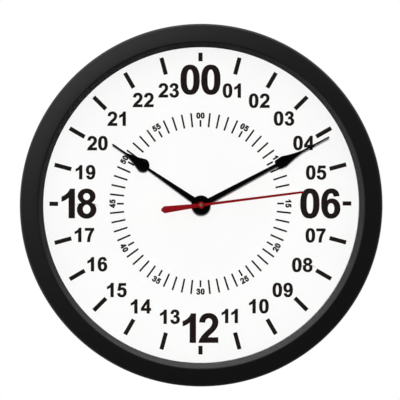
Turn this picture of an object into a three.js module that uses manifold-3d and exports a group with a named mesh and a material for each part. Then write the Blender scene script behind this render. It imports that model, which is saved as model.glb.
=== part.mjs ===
// Twenty-four hour wall clock: a round moulded frame, a flat lens, a plain dial plate,
// a battery quartz movement and three hands.
// Millimetres. The clock is drawn facing +Z, with the wall at z = 0 and the hands' axis
// at x = y = 0. The last group turns it so that the dial faces -Y, the wall plane is
// y = 0, +Z is up and the origin is the axis of the nail it hangs on.

import * as THREE from 'three';
import { mergeVertices } from 'three/addons/utils/BufferGeometryUtils.js';
import Module from 'manifold-3d';

const wasm = await Module();
wasm.setup();

// Clearances
const seatGap = 0.3; // between pieces that rest on each other
const pivotGap = 0.15; // around a shaft in its hole
const layerGap = 0.4; // between one layer of wheels and the next

// Facets of a full circle
const ringFacets = 72;
const boltFacets = 16;
const arborFacets = 12;
const curveFacets = 6;
const rimFacets = 4;
const lipFacets = 3;

// Frame, measured inwards from its widest ring
const frameRadius = 177.8;
const rimWidth = 18.3; // widest ring to the lip
const bevelWidth = 4.75; // lip to the edge of the visible dial
const bevelHeight = 4.85;
const lipRounding = 0.9;
const crestWidth = 1.6; // lip to the highest ring of the front face
const rimRounding = 2.4;
const rimDrop = 3.25;
const faceDrop = 3.25; // fall of the front face towards the rim
const faceCone = 0.6; // share of the fall that is straight, the rest being a parabola
const backRimInset = 10.3; // the sides draw in towards the wall
const skirtWall = 2.5;
const faceSkin = 3;
const ledgeThickness = 1.45;
const boreWall = 1.6;
const boreOverrun = 1.5; // the bore wall reaches past the dial by this much

// Lens, dial and the ring between them
const lensOverlap = 3.75;
const lensThickness = 2;
const handRoom = 12; // dial to lens
const dialOverlap = 6.65;
const dialThickness = 1.5;
const spacerInset = 0.4; // the ring stands back from the edge of the bevel

// Rear cover and its screws
const coverHeight = 9; // back of its plate above the wall
const coverPlate = 2.2;
const coverWall = 2.4;
const coverOverlap = 0.2; // its wall stands this far behind the opening's edge
const coverChamfer = 1.5;
const flangeThickness = 2.2;
const coverScrews = 6;
const screwHoleRadius = 1.5;
const bossRadius = 3.4;
const bossGrip = 0.6; // the bosses sink into the bore wall
const pilotDepth = 13;
const ribCount = 12;
const ribThickness = 2;
const ribHeight = 3;
const hubRibRadius = 47;
const windowMargin = 2;
const windowRim = 2;

// Screws
const screwRadius = 1.25;
const screwLength = 12;
const screwHeadRadius = 2.9;
const screwHeadHeight = 1.4;
const screwCrownRadius = 2.3;
const recessLength = 3.5;
const recessWidth = 0.7;
const recessDepth = 0.7;

// Hanger
const nailInset = 22.75; // edge of the frame's opening to the nail axis
const hangerWidth = 44;
const hangerTop = 12; // plate's reach above the nail axis
const hangerBottom = 22;
const hangerThickness = 1.2;
const hangerCorner = 3;
const nailSlotWidth = 5;
const nailHeadRadius = 5;
const nailDrop = 10; // nail axis down to the middle of the round hole
const hangerScrewSpan = 32;
const hangerScrewDrop = 6;
const hangerPostRadius = 4;
const hangerScrewLength = 7;

// Movement case
const caseHeight = 56; // across the movement, with the cell at its foot
const caseDepth = 16;
const caseWall = 1.2;
const caseCorner = 2;
const postRadius = 1.5;
const coverLedge = 3; // side of the corner ledges that carry the movement's cover
const trainPostInset = 6.5; // side wall to the middle of the train plate's posts
const trainPostTop = 13.6;
const trainPostRise = 2.3; // partition to the middle of the lower posts
const wallGap = 1.2; // setting knob to the wall
const knobHeight = 2.6;
const knobRadius = 4.2;
const knobRidges = 18;
const knobRidgeDepth = 0.4;

// Battery
const cellRadius = 7.1;
const cellLength = 50.5;
const cellNubRadius = 2.7;
const cellNubLength = 1.2;
const cellCorner = 0.6;
const contactThickness = 0.4;
const contactWidth = 6;
const leafSpring = 1.4; // room of the folded leaf beside the cell's base

// Fastening of the movement to the dial
const softWasherThickness = 0.8;
const softWasherRadius = 10;
const bushRadius = 4;
const bushFlangeRadius = 5.5;
const bushFlange = 0.8;
const bushReach = 4; // bush end above the dial
const washerThickness = 0.7;
const washerRadius = 8;
const nutHeight = 2.2;
const nutAcrossFlats = 11;
const nutSides = 6;

// Wheels: teeth, layers and shafts
const rotorLeaves = 6;
const intermediateTeeth = 36;
const intermediateLeaves = 6;
const secondsTeeth = 30;
const secondsLeaves = 6;
const thirdTeeth = 45;
const thirdLeaves = 6;
const centreTeeth = 48;
const minuteLeaves = 8;
const motionTeeth = 32;
const motionLeaves = 6;
const hourTeeth = 36;
const wheelThickness = 0.6;
const pinionLength = 1;
const trainPlateThickness = 0.8;
const thirdDistance = 9.4; // hands' axis to the third wheel
const thirdBearing = 180; // degrees, anticlockwise from the right, seen from the front
const motionDistance = 9.6;
const motionBearing = -10;
const intermediateDistance = 7.4;
const intermediateBearing = 60;
const rotorDistance = 7.14; // intermediate wheel to the rotor
const rotorBearing = 80;
const arborRadius = 0.45;
const secondsArborRadius = 0.6;
const motionArborRadius = 0.6;
const minutePipeWall = 0.6;
const hourPipeWall = 0.7;
const pipeGap = 0.25;
const pivotDepth = 0.6; // how far an arbor's end reaches into its seat

// Tooth form, in modules and in shares of the tooth pitch
const toothTip = 0.75;
const toothRoot = 0.95;
const toothTipShare = 0.12;
const toothRootShare = 0.4;

// Motor and circuit
const magnetRadius = 3;
const magnetLength = 1.8;
const magnetSlack = 0.6; // magnet to the stator's hole
const statorThickness = 0.8;
const statorMargin = 1.2;
const statorLeftInset = 6.8; // side wall to the stator
const statorRightInset = 4.8;
const statorArm = 5;
const coreWidth = 2.4;
const bobbinRadius = 1.9;
const flangeRadius = 3;
const windingRadius = 2.6;
const bobbinFlange = 0.8;
const bobbinMargin = 1.7; // stator arm to the bobbin
const boardInset = 1; // side wall to the circuit board
const boardRight = -8;
const boardBottom = -9;
const boardTop = 17;
const boardThickness = 1;
const crystalRadius = 1;
const crystalLength = 6;
const chipRadius = 3;
const chipThickness = 0.8;
const chipCrownRadius = 1.8;
const chipCrown = 0.12;

// Hands: heights above the dial, lengths from the axis and half widths
const hourHandHeight = 5;
const minuteHandHeight = 6.8;
const secondHandHeight = 8.6;
const handThickness = 0.6;
const handCollar = 0.6;
const pipeProud = 0.3; // pipe end above its hand
const hubDiscRadius = 9.45;
const minuteHandLength = 142.6;
const hourHandLength = 105.5;
const secondHandLength = 101;
const secondTailLength = 39.4;
const secondHubRadius = 3.4;
const secondHubHeight = 0.9;
const secondTubeRadius = 1.35;
const secondTubeProud = 0.5;
const tipHalfWidth = 0.75;
const needleHalfWidth = 0.88;
const taperPull = 1.75; // half width that the tapers' curves aim at
const hourStemHalfWidth = 3.15;
const hourNeckHalfWidth = 1.12;
const hourNeckLength = 1.2;
const bulbDistance = 68.6;
const bulbRadius = 6.45;
const bulbTaper = 21; // bulb's middle to where the needle begins
const bulbTaperAngle = 62; // where the bulb's circle turns into the taper
const minuteStemHalfWidth = 2.85;
const minuteNeckHalfWidth = 1.63;
const spadeStart = 82.7;
const spadeShoulder = 3.2;
const spadeShoulderHalfWidth = 4.5;
const spadeHalfWidth = 5.25;
const spadeWidest = 92.5;
const spadeTaper = 21;
const bladeHalfWidth = 0.88;
const bladeTipHalfWidth = 0.62;
const tailHalfWidth = 2.95;
const tailNeckHalfWidth = 1.25;
const tailEndHalfWidth = 1;
const tailPoint = 3; // length of the tail's chamfered end

// Where the hands stand, in degrees anticlockwise from the right
const hourHandAngle = 145.6;
const minuteHandAngle = 28;
const secondHandAngle = 7.2;

// Radii worked out from the frame inwards
const lipRadius = frameRadius - rimWidth;
const openingRadius = lipRadius - bevelWidth;
const lensRadius = openingRadius + lensOverlap;
const dialRadius = openingRadius + dialOverlap;
const boreRadius = dialRadius + seatGap;
const boreOuter = boreRadius + boreWall;
const screwCircle = boreOuter + bossRadius - bossGrip;
const backRimRadius = frameRadius - backRimInset;
const coverWallInner = openingRadius - coverOverlap;
const coverWallOuter = coverWallInner + coverWall;
const hangerHeight = openingRadius - nailInset; // nail axis above the hands' axis

// Heights above the wall, worked out from the wall forwards
const movementBack = wallGap + knobHeight + seatGap;
const movementFront = movementBack + caseDepth;
const dialBack = movementFront + seatGap + softWasherThickness + seatGap;
const dialFront = dialBack + dialThickness;
const lensBack = dialFront + handRoom;
const lensFront = lensBack + lensThickness;
const ledgeBack = lensFront + seatGap;
const bevelFoot = ledgeBack + ledgeThickness;
const lipHeight = bevelFoot + bevelHeight;
const crestHeight = lipHeight + lipRounding;
const boreEnd = dialBack - boreOverrun;
const widestHeight = crestHeight - faceDrop - rimDrop;
const flangeFront = boreEnd - seatGap;
const flangeBack = flangeFront - flangeThickness;

// Depths behind the movement's front face, layer by layer towards the wall
const bushFlangeDepth = caseWall + seatGap;
const hourLayer = bushFlangeDepth + bushFlange + layerGap;
const motionLayer = hourLayer + pinionLength + layerGap;
const centreLayer = motionLayer + pinionLength + layerGap;
const thirdLayer = centreLayer + pinionLength + layerGap;
const trainPlateDepth = thirdLayer + pinionLength + layerGap;
const secondsLayer = trainPlateDepth + trainPlateThickness + layerGap;
const magnetDepth = trainPlateDepth + trainPlateThickness + seatGap;
const rotorLayer = magnetDepth + magnetLength + seatGap;
const statorDepth = magnetDepth + (magnetLength - statorThickness) / 2;
const coverDepth = caseDepth - caseWall;
const rearPivotEnd = coverDepth + pivotDepth;
const frontPivotEnd = caseWall - pivotDepth;
const chipDepth = coverDepth - seatGap - chipThickness;
const boardDepth = chipDepth - pivotGap - boardThickness;

// Pipes around the seconds arbor, from the inside outwards
const minuteBore = secondsArborRadius + pipeGap;
const minutePipeRadius = minuteBore + minutePipeWall;
const hourBore = minutePipeRadius + pipeGap;
const hourPipeRadius = hourBore + hourPipeWall;
const bushBore = hourPipeRadius + pipeGap;

// Places on the movement, seen from the front
const caseSideInner = (cellLength + leafSpring + 3 * seatGap + 2 * contactThickness) / 2;
const caseSideHalf = caseSideInner + caseWall;
const caseTopHalf = caseHeight / 2;
const caseTopInner = caseTopHalf - caseWall;
const trainPostSide = caseSideInner - trainPostInset;
const statorLeft = statorLeftInset - caseSideInner;
const statorRight = caseSideInner - statorRightInset;
const boardLeft = boardInset - caseSideInner;
const cellMiddleY = -caseTopInner + seatGap + cellRadius;
const cellDepth = caseWall + seatGap + cellRadius;
const partitionBottom = cellMiddleY + cellRadius + 2 * seatGap;
const partitionTop = partitionBottom + caseWall;
const contactTailTop = partitionTop + seatGap + contactThickness;
const handAxis = [0, 0];
const thirdPlace = placeAt(handAxis, thirdDistance, thirdBearing);
const motionPlace = placeAt(handAxis, motionDistance, motionBearing);
const intermediatePlace = placeAt(handAxis, intermediateDistance, intermediateBearing);
const rotorPlace = placeAt(intermediatePlace, rotorDistance, rotorBearing);
const statorHole = magnetRadius + magnetSlack;
const statorBottom = rotorPlace[1] - statorHole - statorMargin;
const statorBridge = rotorPlace[1] + statorHole + statorMargin;
const coilMiddleY = statorBridge + seatGap + flangeRadius;
const statorTop = coilMiddleY + flangeRadius;
const coreLeft = statorLeft + statorArm + seatGap;
const coreRight = statorRight - statorArm - seatGap;
const trainPostPlaces = [-trainPostSide, trainPostSide].flatMap((x) => [
  [x, partitionTop + trainPostRise],
  [x, trainPostTop],
]);
const boardPostPlaces = [
  [boardLeft + postRadius, boardBottom + postRadius],
  [boardLeft + postRadius, boardTop - postRadius],
];
const statorPostPlaces = [
  [statorLeft + statorArm / 2, coilMiddleY],
  [statorRight - statorArm / 2, coilMiddleY],
];

function radians(degrees) {
  return (degrees * Math.PI) / 180;
}

function placeAt([x, y], distance, bearing) {
  return [x + distance * Math.cos(radians(bearing)), y + distance * Math.sin(radians(bearing))];
}

// Solid of a closed geometry, with its shared corners merged
function toSolid(geometry) {
  geometry.deleteAttribute('normal');
  geometry.deleteAttribute('uv');
  const merged = mergeVertices(geometry);
  const corners = merged.getIndex().array;
  const faces = [];
  for (let i = 0; i < corners.length; i += 3) {
    const face = [corners[i], corners[i + 1], corners[i + 2]];
    if (new Set(face).size === 3) faces.push(...face);
  }
  const vertProperties = new Float32Array(merged.getAttribute('position').array);
  const mesh = new wasm.Mesh({ numProp: 3, vertProperties, triVerts: new Uint32Array(faces) });
  return new wasm.Manifold(mesh);
}

function toGeometry(solid) {
  const { vertProperties, triVerts } = solid.getMesh();
  const geometry = new THREE.BufferGeometry();
  geometry.setAttribute('position', new THREE.BufferAttribute(vertProperties, 3));
  geometry.setIndex(new THREE.BufferAttribute(triVerts, 1));
  geometry.computeVertexNormals();
  return geometry;
}

function joined(first, ...others) {
  return others.reduce((sum, other) => sum.add(other), first);
}

function cut(body, ...tools) {
  return tools.reduce((rest, tool) => rest.subtract(tool), body);
}

// Solid turned about Z from [radius, height] points, listed anticlockwise
function turned(profile, facets = ringFacets) {
  const points = profile.map(([radius, height]) => new THREE.Vector2(radius, height));
  return toSolid(new THREE.LatheGeometry(points, facets).rotateX(Math.PI / 2));
}

function ring(profile, facets) {
  return turned([...profile, profile[0]], facets);
}

function rod(radius, from, to, facets = arborFacets) {
  return turned([[0, from], [radius, from], [radius, to], [0, to]], facets);
}

function tube(inner, outer, from, to, facets = arborFacets) {
  return ring([[inner, from], [outer, from], [outer, to], [inner, to]], facets);
}

function block([left, right], [bottom, top], [back, front]) {
  const box = new THREE.BoxGeometry(right - left, top - bottom, front - back);
  return toSolid(box.translate((left + right) / 2, (bottom + top) / 2, (back + front) / 2));
}

// Plate of a shape between two heights
function plate(shape, from, to) {
  const settings = { depth: to - from, bevelEnabled: false, curveSegments: curveFacets };
  return toSolid(new THREE.ExtrudeGeometry(shape, settings).translate(0, 0, from));
}

function polygon(points) {
  return new THREE.Shape(points.map(([x, y]) => new THREE.Vector2(x, y)));
}

function roundedSquare(left, right, bottom, top, corner) {
  const shape = new THREE.Shape();
  shape.moveTo(left + corner, bottom);
  shape.lineTo(right - corner, bottom);
  shape.absarc(right - corner, bottom + corner, corner, -Math.PI / 2, 0);
  shape.lineTo(right, top - corner);
  shape.absarc(right - corner, top - corner, corner, 0, Math.PI / 2);
  shape.lineTo(left + corner, top);
  shape.absarc(left + corner, top - corner, corner, Math.PI / 2, Math.PI);
  shape.lineTo(left, bottom + corner);
  shape.absarc(left + corner, bottom + corner, corner, Math.PI, Math.PI * 1.5);
  return shape;
}

// Frame section, from the back rim up the outside, over the face and down the inside
function frameProfile() {
  const crestRadius = lipRadius + crestWidth;
  const faceEdge = frameRadius - rimRounding;
  const faceHeight = (radius) => {
    const share = (radius - crestRadius) / (faceEdge - crestRadius);
    return crestHeight - faceDrop * (faceCone * share + (1 - faceCone) * share ** 2);
  };
  const edgeSlope = (faceDrop * (2 - faceCone)) / (faceEdge - crestRadius);
  const rim = new THREE.QuadraticBezierCurve(
    new THREE.Vector2(frameRadius, widestHeight),
    new THREE.Vector2(frameRadius, faceHeight(faceEdge) - edgeSlope * rimRounding),
    new THREE.Vector2(faceEdge, faceHeight(faceEdge)),
  );
  const bevelRun = (lipRounding * bevelWidth) / bevelHeight;
  const lip = new THREE.QuadraticBezierCurve(
    new THREE.Vector2(crestRadius, crestHeight),
    new THREE.Vector2(lipRadius + bevelRun, crestHeight),
    new THREE.Vector2(lipRadius, lipHeight),
  );
  const face = [];
  for (let step = 1; step < curveFacets; step++) {
    const radius = faceEdge + ((crestRadius - faceEdge) * step) / curveFacets;
    face.push([radius, faceHeight(radius)]);
  }
  return [
    [backRimRadius - skirtWall, 0],
    [backRimRadius, 0],
    ...rim.getPoints(rimFacets).map((point) => point.toArray()),
    ...face,
    ...lip.getPoints(lipFacets).map((point) => point.toArray()),
    [openingRadius, bevelFoot],
    [openingRadius, ledgeBack],
    [lensRadius + seatGap, ledgeBack],
    [lensRadius + seatGap, lensBack],
    [boreRadius, lensBack],
    [boreRadius, boreEnd],
    [boreOuter, boreEnd],
    [boreOuter, faceHeight(boreOuter) - faceSkin],
    [frameRadius - skirtWall, widestHeight],
  ];
}

function coverScrewPlaces() {
  const places = [];
  for (let index = 0; index < coverScrews; index++) {
    const bearing = 90 + (360 * (index + 0.5)) / coverScrews;
    places.push(placeAt(handAxis, screwCircle, bearing));
  }
  return places;
}

function aroundScrewCircle(solid) {
  return coverScrewPlaces().map(([x, y]) => solid.translate([x, y, 0]));
}

function frontFrame() {
  const bossTop = crestHeight - faceSkin;
  const bosses = aroundScrewCircle(rod(bossRadius, boreEnd, bossTop));
  const pilots = aroundScrewCircle(rod(screwHoleRadius, boreEnd - seatGap, boreEnd + pilotDepth));
  return cut(joined(ring(frameProfile()), ...bosses), ...pilots);
}

function lens() {
  return rod(lensRadius, lensBack, lensFront, ringFacets);
}

function spacerRing() {
  const inner = openingRadius + spacerInset;
  return tube(inner, dialRadius, dialFront + seatGap, lensBack - seatGap, ringFacets);
}

function dial() {
  const hole = rod(bushRadius + seatGap, dialBack - seatGap, dialFront + seatGap, boltFacets);
  return cut(rod(dialRadius, dialBack, dialFront, ringFacets), hole);
}

// The cover is a dish: its wall presses on the dial and its flange takes the screws
function rearCover() {
  const skirtInner = (height) =>
    backRimRadius - skirtWall + (backRimInset * height) / widestHeight;
  const flangeRadiusOuter = skirtInner(flangeBack) - seatGap;
  const plateFront = coverHeight + coverPlate;
  const dish = turned([
    [0, coverHeight],
    [coverWallOuter - coverChamfer, coverHeight],
    [coverWallOuter, coverHeight + coverChamfer],
    [coverWallOuter, flangeBack],
    [flangeRadiusOuter, flangeBack],
    [flangeRadiusOuter, flangeFront],
    [coverWallOuter, flangeFront],
    [coverWallOuter, dialBack - seatGap],
    [coverWallInner, dialBack - seatGap],
    [coverWallInner, plateFront],
    [0, plateFront],
  ]);
  const holes = aroundScrewCircle(rod(screwHoleRadius, flangeBack - seatGap, boreEnd));
  const postBack = hangerBack() + hangerThickness + seatGap;
  const posts = hangerScrewPlaces().map(([x, y]) =>
    rod(hangerPostRadius, postBack, plateFront, boltFacets).translate([x, y, 0]));
  const postHoles = hangerScrewPlaces().map(([x, y]) =>
    rod(screwHoleRadius, 0, plateFront - seatGap).translate([x, y, 0]));
  const windowSide = caseSideHalf + windowMargin;
  const windowTop = caseTopHalf + windowMargin;
  const rimSide = windowSide + windowRim;
  const rimTop = windowTop + windowRim;
  const reach = [coverHeight - ribHeight, plateFront];
  const windowFrame = block([-rimSide, rimSide], [-rimTop, rimTop], reach);
  const window = block([-windowSide, windowSide], [-windowTop, windowTop], [0, dialBack]);
  return cut(joined(dish, ...coverRibs(reach), windowFrame, ...posts), ...holes, ...postHoles, window);
}

function coverRibs([back, front]) {
  const hubInner = hubRibRadius - ribThickness;
  const ribs = [tube(hubInner, hubRibRadius, back, front, ringFacets)];
  const spoke = block([hubInner, coverWallInner], [-ribThickness / 2, ribThickness / 2], [back, front]);
  for (let index = 0; index < ribCount; index++) {
    ribs.push(spoke.rotate([0, 0, (360 * (index + 0.5)) / ribCount]));
  }
  return ribs;
}

function screw(length) {
  const head = turned([
    [0, -screwHeadHeight],
    [screwCrownRadius, -screwHeadHeight],
    [screwHeadRadius, -screwHeadHeight / 2],
    [screwHeadRadius, 0],
    [screwRadius, 0],
    [screwRadius, length - screwRadius],
    [0, length],
  ], arborFacets);
  const arm = [-recessLength / 2, recessLength / 2];
  const notch = [-recessWidth / 2, recessWidth / 2];
  const deep = [-screwHeadHeight - seatGap, -screwHeadHeight + recessDepth];
  return cut(head, block(arm, notch, deep), block(notch, arm, deep));
}

// The hanger's plate lies far enough off the wall to hide its screw heads
function hangerBack() {
  return 2 * seatGap + screwHeadHeight;
}

function hangerScrewPlaces() {
  return [-1, 1].map((side) => [(side * hangerScrewSpan) / 2, hangerHeight - hangerScrewDrop]);
}

function hangerPlate() {
  const half = hangerWidth / 2;
  const top = hangerHeight + hangerTop;
  const shape = roundedSquare(-half, half, hangerHeight - hangerBottom, top, hangerCorner);
  const slotHalf = nailSlotWidth / 2;
  const holeMiddle = hangerHeight - nailDrop;
  const meet = Math.acos(slotHalf / nailHeadRadius);
  const keyhole = new THREE.Path();
  keyhole.absarc(0, hangerHeight, slotHalf, 0, Math.PI);
  keyhole.absarc(0, holeMiddle, nailHeadRadius, Math.PI - meet, 2 * Math.PI + meet);
  shape.holes.push(keyhole);
  for (const [x, y] of hangerScrewPlaces()) {
    shape.holes.push(new THREE.Path().absarc(x, y, screwHoleRadius, 0, 2 * Math.PI));
  }
  return plate(shape, hangerBack(), hangerBack() + hangerThickness);
}

// Teeth with straight flanks: two corners at the root circle and two at the tip circle
function gearOutline(teeth, module, toothAngle) {
  const pitchRadius = (teeth * module) / 2;
  const root = pitchRadius - toothRoot * module;
  const tip = pitchRadius + toothTip * module;
  const pitch = (2 * Math.PI) / teeth;
  const corners = [[root, -toothRootShare], [tip, -toothTipShare], [tip, toothTipShare],
    [root, toothRootShare]];
  const points = [];
  for (let tooth = 0; tooth < teeth; tooth++) {
    for (const [radius, share] of corners) {
      const angle = toothAngle + pitch * (tooth + share / 2);
      points.push([radius * Math.cos(angle), radius * Math.sin(angle)]);
    }
  }
  return points;
}

// A gear at a depth behind the movement's front, with a tooth or a gap towards its mate
function gear(teeth, module, depth, thickness, bearing, facing) {
  const turn = facing === 'gap' ? Math.PI / teeth : 0;
  const outline = polygon(gearOutline(teeth, module, radians(bearing) + turn));
  return plate(outline, -depth - thickness, -depth);
}

function wheel(teeth, module, layer, bearing) {
  const depth = layer + (pinionLength - wheelThickness) / 2;
  return gear(teeth, module, depth, wheelThickness, bearing, 'gap');
}

function pinion(leaves, module, layer, bearing) {
  return gear(leaves, module, layer, pinionLength, bearing, 'tooth');
}

// Each module follows from the two gears' teeth and the distance between their axes
const rotorModule = (2 * rotorDistance) / (rotorLeaves + intermediateTeeth);
const intermediateModule = (2 * intermediateDistance) / (intermediateLeaves + secondsTeeth);
const thirdModule = (2 * thirdDistance) / (secondsLeaves + thirdTeeth);
const centreModule = (2 * thirdDistance) / (thirdLeaves + centreTeeth);
const motionModule = (2 * motionDistance) / (minuteLeaves + motionTeeth);
const hourModule = (2 * motionDistance) / (motionLeaves + hourTeeth);

function rotorPinion() {
  const arbor = rod(arborRadius, -rearPivotEnd, -trainPlateDepth - trainPlateThickness + pivotDepth);
  return joined(pinion(rotorLeaves, rotorModule, rotorLayer, rotorBearing + 180), arbor);
}

function rotorMagnet() {
  const inner = arborRadius + pivotGap;
  return tube(inner, magnetRadius, -magnetDepth - magnetLength, -magnetDepth, boltFacets);
}

function intermediateWheel() {
  return joined(
    wheel(intermediateTeeth, rotorModule, rotorLayer, rotorBearing),
    pinion(intermediateLeaves, intermediateModule, secondsLayer, intermediateBearing + 180),
    rod(arborRadius, -rearPivotEnd, -trainPlateDepth - trainPlateThickness + pivotDepth),
  );
}

function secondsWheel() {
  const front = dialFront - movementFront + secondHandHeight + secondHubHeight;
  return joined(
    wheel(secondsTeeth, intermediateModule, secondsLayer, intermediateBearing),
    pinion(secondsLeaves, thirdModule, thirdLayer, thirdBearing),
    rod(secondsArborRadius, -rearPivotEnd, front),
  );
}

function thirdWheel() {
  return joined(
    wheel(thirdTeeth, thirdModule, thirdLayer, thirdBearing + 180),
    pinion(thirdLeaves, centreModule, centreLayer, thirdBearing + 180),
    rod(arborRadius, -trainPlateDepth - pivotDepth, -frontPivotEnd),
  );
}

// The centre wheel turns on the minute pinion's tail and drives it by friction
function centreWheel() {
  const bore = rod(minutePipeRadius + pivotGap, -caseDepth, 0);
  return cut(wheel(centreTeeth, centreModule, centreLayer, thirdBearing), bore);
}

function minutePinion() {
  const front = dialFront - movementFront + minuteHandHeight + handThickness + pipeProud;
  return cut(
    joined(
      pinion(minuteLeaves, motionModule, motionLayer, motionBearing),
      rod(minutePipeRadius, -centreLayer - pinionLength, front),
    ),
    rod(minuteBore, -caseDepth, front + seatGap),
  );
}

function motionWheel() {
  const knobSeat = caseDepth + seatGap + knobHeight;
  return joined(
    wheel(motionTeeth, motionModule, motionLayer, motionBearing + 180),
    pinion(motionLeaves, hourModule, hourLayer, motionBearing + 180),
    rod(motionArborRadius, -knobSeat + 2 * seatGap, -frontPivotEnd),
  );
}

function settingKnob() {
  const ridges = [];
  for (let corner = 0; corner < 2 * knobRidges; corner++) {
    const angle = (Math.PI * corner) / knobRidges;
    const radius = corner % 2 ? knobRadius : knobRadius - knobRidgeDepth;
    ridges.push([radius * Math.cos(angle), radius * Math.sin(angle)]);
  }
  const front = -caseDepth - seatGap;
  const bore = rod(motionArborRadius + pivotGap, front - knobHeight + seatGap, 0);
  return cut(plate(polygon(ridges), front - knobHeight, front), bore);
}

function hourWheel() {
  const front = dialFront - movementFront + hourHandHeight + handThickness + pipeProud;
  const wheelBack = -hourLayer - (pinionLength + wheelThickness) / 2;
  return cut(
    joined(wheel(hourTeeth, hourModule, hourLayer, motionBearing), rod(hourPipeRadius, wheelBack, front)),
    rod(hourBore, -caseDepth, front + seatGap),
  );
}

// The case is a tray with a bay for the cell along its lower side
function movementCase() {
  const outline =
    roundedSquare(-caseSideHalf, caseSideHalf, -caseTopHalf, caseTopHalf, caseCorner);
  const side = [-caseSideInner, caseSideInner];
  const hollow = [-caseDepth - seatGap, -caseWall];
  const behindPartition = [-caseDepth - seatGap, -coverDepth + seatGap];
  const slot = 2 * seatGap + contactThickness;
  const partition = [partitionBottom - seatGap, partitionTop + seatGap];
  const post = (depth) => ([x, y]) => rod(postRadius, -depth, -caseWall / 2).translate([x, y, 0]);
  const seat = ([x, y]) =>
    rod(arborRadius + pivotGap, -caseDepth, -frontPivotEnd + seatGap).translate([x, y, 0]);
  const motionSeat = rod(motionArborRadius + pivotGap, -caseDepth, -frontPivotEnd + seatGap);
  const corners = [-1, 1].map((end) =>
    block([end > 0 ? caseSideInner - coverLedge : -caseSideInner - seatGap,
      end > 0 ? caseSideInner + seatGap : -caseSideInner + coverLedge],
    [caseTopInner - coverLedge, caseTopInner + seatGap], [-coverDepth + seatGap, -caseWall / 2]));
  return cut(
    joined(
      cut(
        plate(outline, -caseDepth, 0),
        block(side, [partitionTop, caseTopInner], hollow),
        block(side, [-caseTopInner, partitionBottom], hollow),
        block(side, partition, behindPartition),
        block([-caseSideInner, -caseSideInner + slot], partition, hollow),
        block([caseSideInner - slot, caseSideInner], partition, hollow),
      ),
      ...trainPostPlaces.map(post(trainPlateDepth - seatGap)),
      ...boardPostPlaces.map(post(boardDepth - seatGap)),
      ...statorPostPlaces.map(post(statorDepth - seatGap)),
      ...corners,
    ),
    rod(bushRadius + seatGap, -caseDepth, seatGap, boltFacets),
    seat(thirdPlace),
    motionSeat.translate([...motionPlace, 0]),
  );
}

function movementCover() {
  const side = [-caseSideInner + seatGap, caseSideInner - seatGap];
  const lid = block(side, [partitionBottom, caseTopInner - seatGap], [-caseDepth, -coverDepth]);
  const seat = ([x, y], radius) =>
    rod(radius + pivotGap, -rearPivotEnd - seatGap, 0).translate([x, y, 0]);
  const knobHole = rod(motionArborRadius + seatGap, -caseDepth - seatGap, 0);
  return cut(
    lid,
    seat(handAxis, secondsArborRadius),
    seat(intermediatePlace, arborRadius),
    seat(rotorPlace, arborRadius),
    knobHole.translate([...motionPlace, 0]),
  );
}

// Plate between the slow and the fast wheels, on four posts of the case
function trainPlate() {
  const reach = trainPostSide + postRadius;
  const top = trainPostTop + postRadius;
  const back = -trainPlateDepth - trainPlateThickness;
  const sheet = block([-reach, reach], [contactTailTop + seatGap, top], [back, -trainPlateDepth]);
  const hole = ([x, y], radius) => rod(radius, -caseDepth, 0).translate([x, y, 0]);
  const pinionTip = (secondsLeaves * thirdModule) / 2 + toothTip * thirdModule;
  return cut(
    sheet,
    hole(handAxis, pinionTip + seatGap),
    hole(thirdPlace, arborRadius + pivotGap),
    hole(intermediatePlace, arborRadius + pivotGap),
    hole(rotorPlace, arborRadius + pivotGap),
    hole(motionPlace, motionArborRadius + seatGap),
  );
}

function stator() {
  const shape = polygon([
    [statorLeft, statorBottom],
    [statorRight, statorBottom],
    [statorRight, statorTop],
    [statorRight - statorArm, statorTop],
    [statorRight - statorArm, statorBridge],
    [statorLeft + statorArm, statorBridge],
    [statorLeft + statorArm, statorTop],
    [statorLeft, statorTop],
  ]);
  const [x, y] = rotorPlace;
  shape.holes.push(new THREE.Path().absarc(x, y, statorHole, 0, 2 * Math.PI));
  return plate(shape, -statorDepth - statorThickness, -statorDepth);
}

function coilCore() {
  const height = [coilMiddleY - coreWidth / 2, coilMiddleY + coreWidth / 2];
  return block([coreLeft, coreRight], height, [-statorDepth - statorThickness, -statorDepth]);
}

// Turns a spool drawn along Z so that it lies along X on the coil's line
function onCoilLine(spool) {
  const depth = statorDepth + statorThickness / 2;
  return spool.rotate([0, 90, 0]).translate([0, coilMiddleY, -depth]);
}

function coilBobbin() {
  const left = coreLeft + bobbinMargin;
  const right = coreRight - bobbinMargin;
  const spool = turned([
    [0, left],
    [flangeRadius, left],
    [flangeRadius, left + bobbinFlange],
    [bobbinRadius, left + bobbinFlange],
    [bobbinRadius, right - bobbinFlange],
    [flangeRadius, right - bobbinFlange],
    [flangeRadius, right],
    [0, right],
  ], arborFacets);
  const halfWidth = coreWidth / 2 + pivotGap;
  const halfDepth = statorThickness / 2 + pivotGap;
  const through = [left - seatGap, right + seatGap];
  const hole = block([-halfDepth, halfDepth], [-halfWidth, halfWidth], through);
  return onCoilLine(cut(spool, hole));
}

function coilWinding() {
  const from = coreLeft + bobbinMargin + bobbinFlange + seatGap;
  const to = coreRight - bobbinMargin - bobbinFlange - seatGap;
  return onCoilLine(tube(bobbinRadius + pivotGap, windingRadius, from, to));
}

function circuitBoard() {
  const back = -boardDepth - boardThickness;
  return block([boardLeft, boardRight], [boardBottom, boardTop], [back, -boardDepth]);
}

function quartzCrystal() {
  const middle = -boardDepth + seatGap + crystalRadius;
  const can = rod(crystalRadius, 0, crystalLength).rotate([-90, 0, 0]);
  const bottom = boardBottom + 2 * postRadius + seatGap;
  return can.translate([boardLeft + 2 * crystalRadius, bottom, middle]);
}

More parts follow.
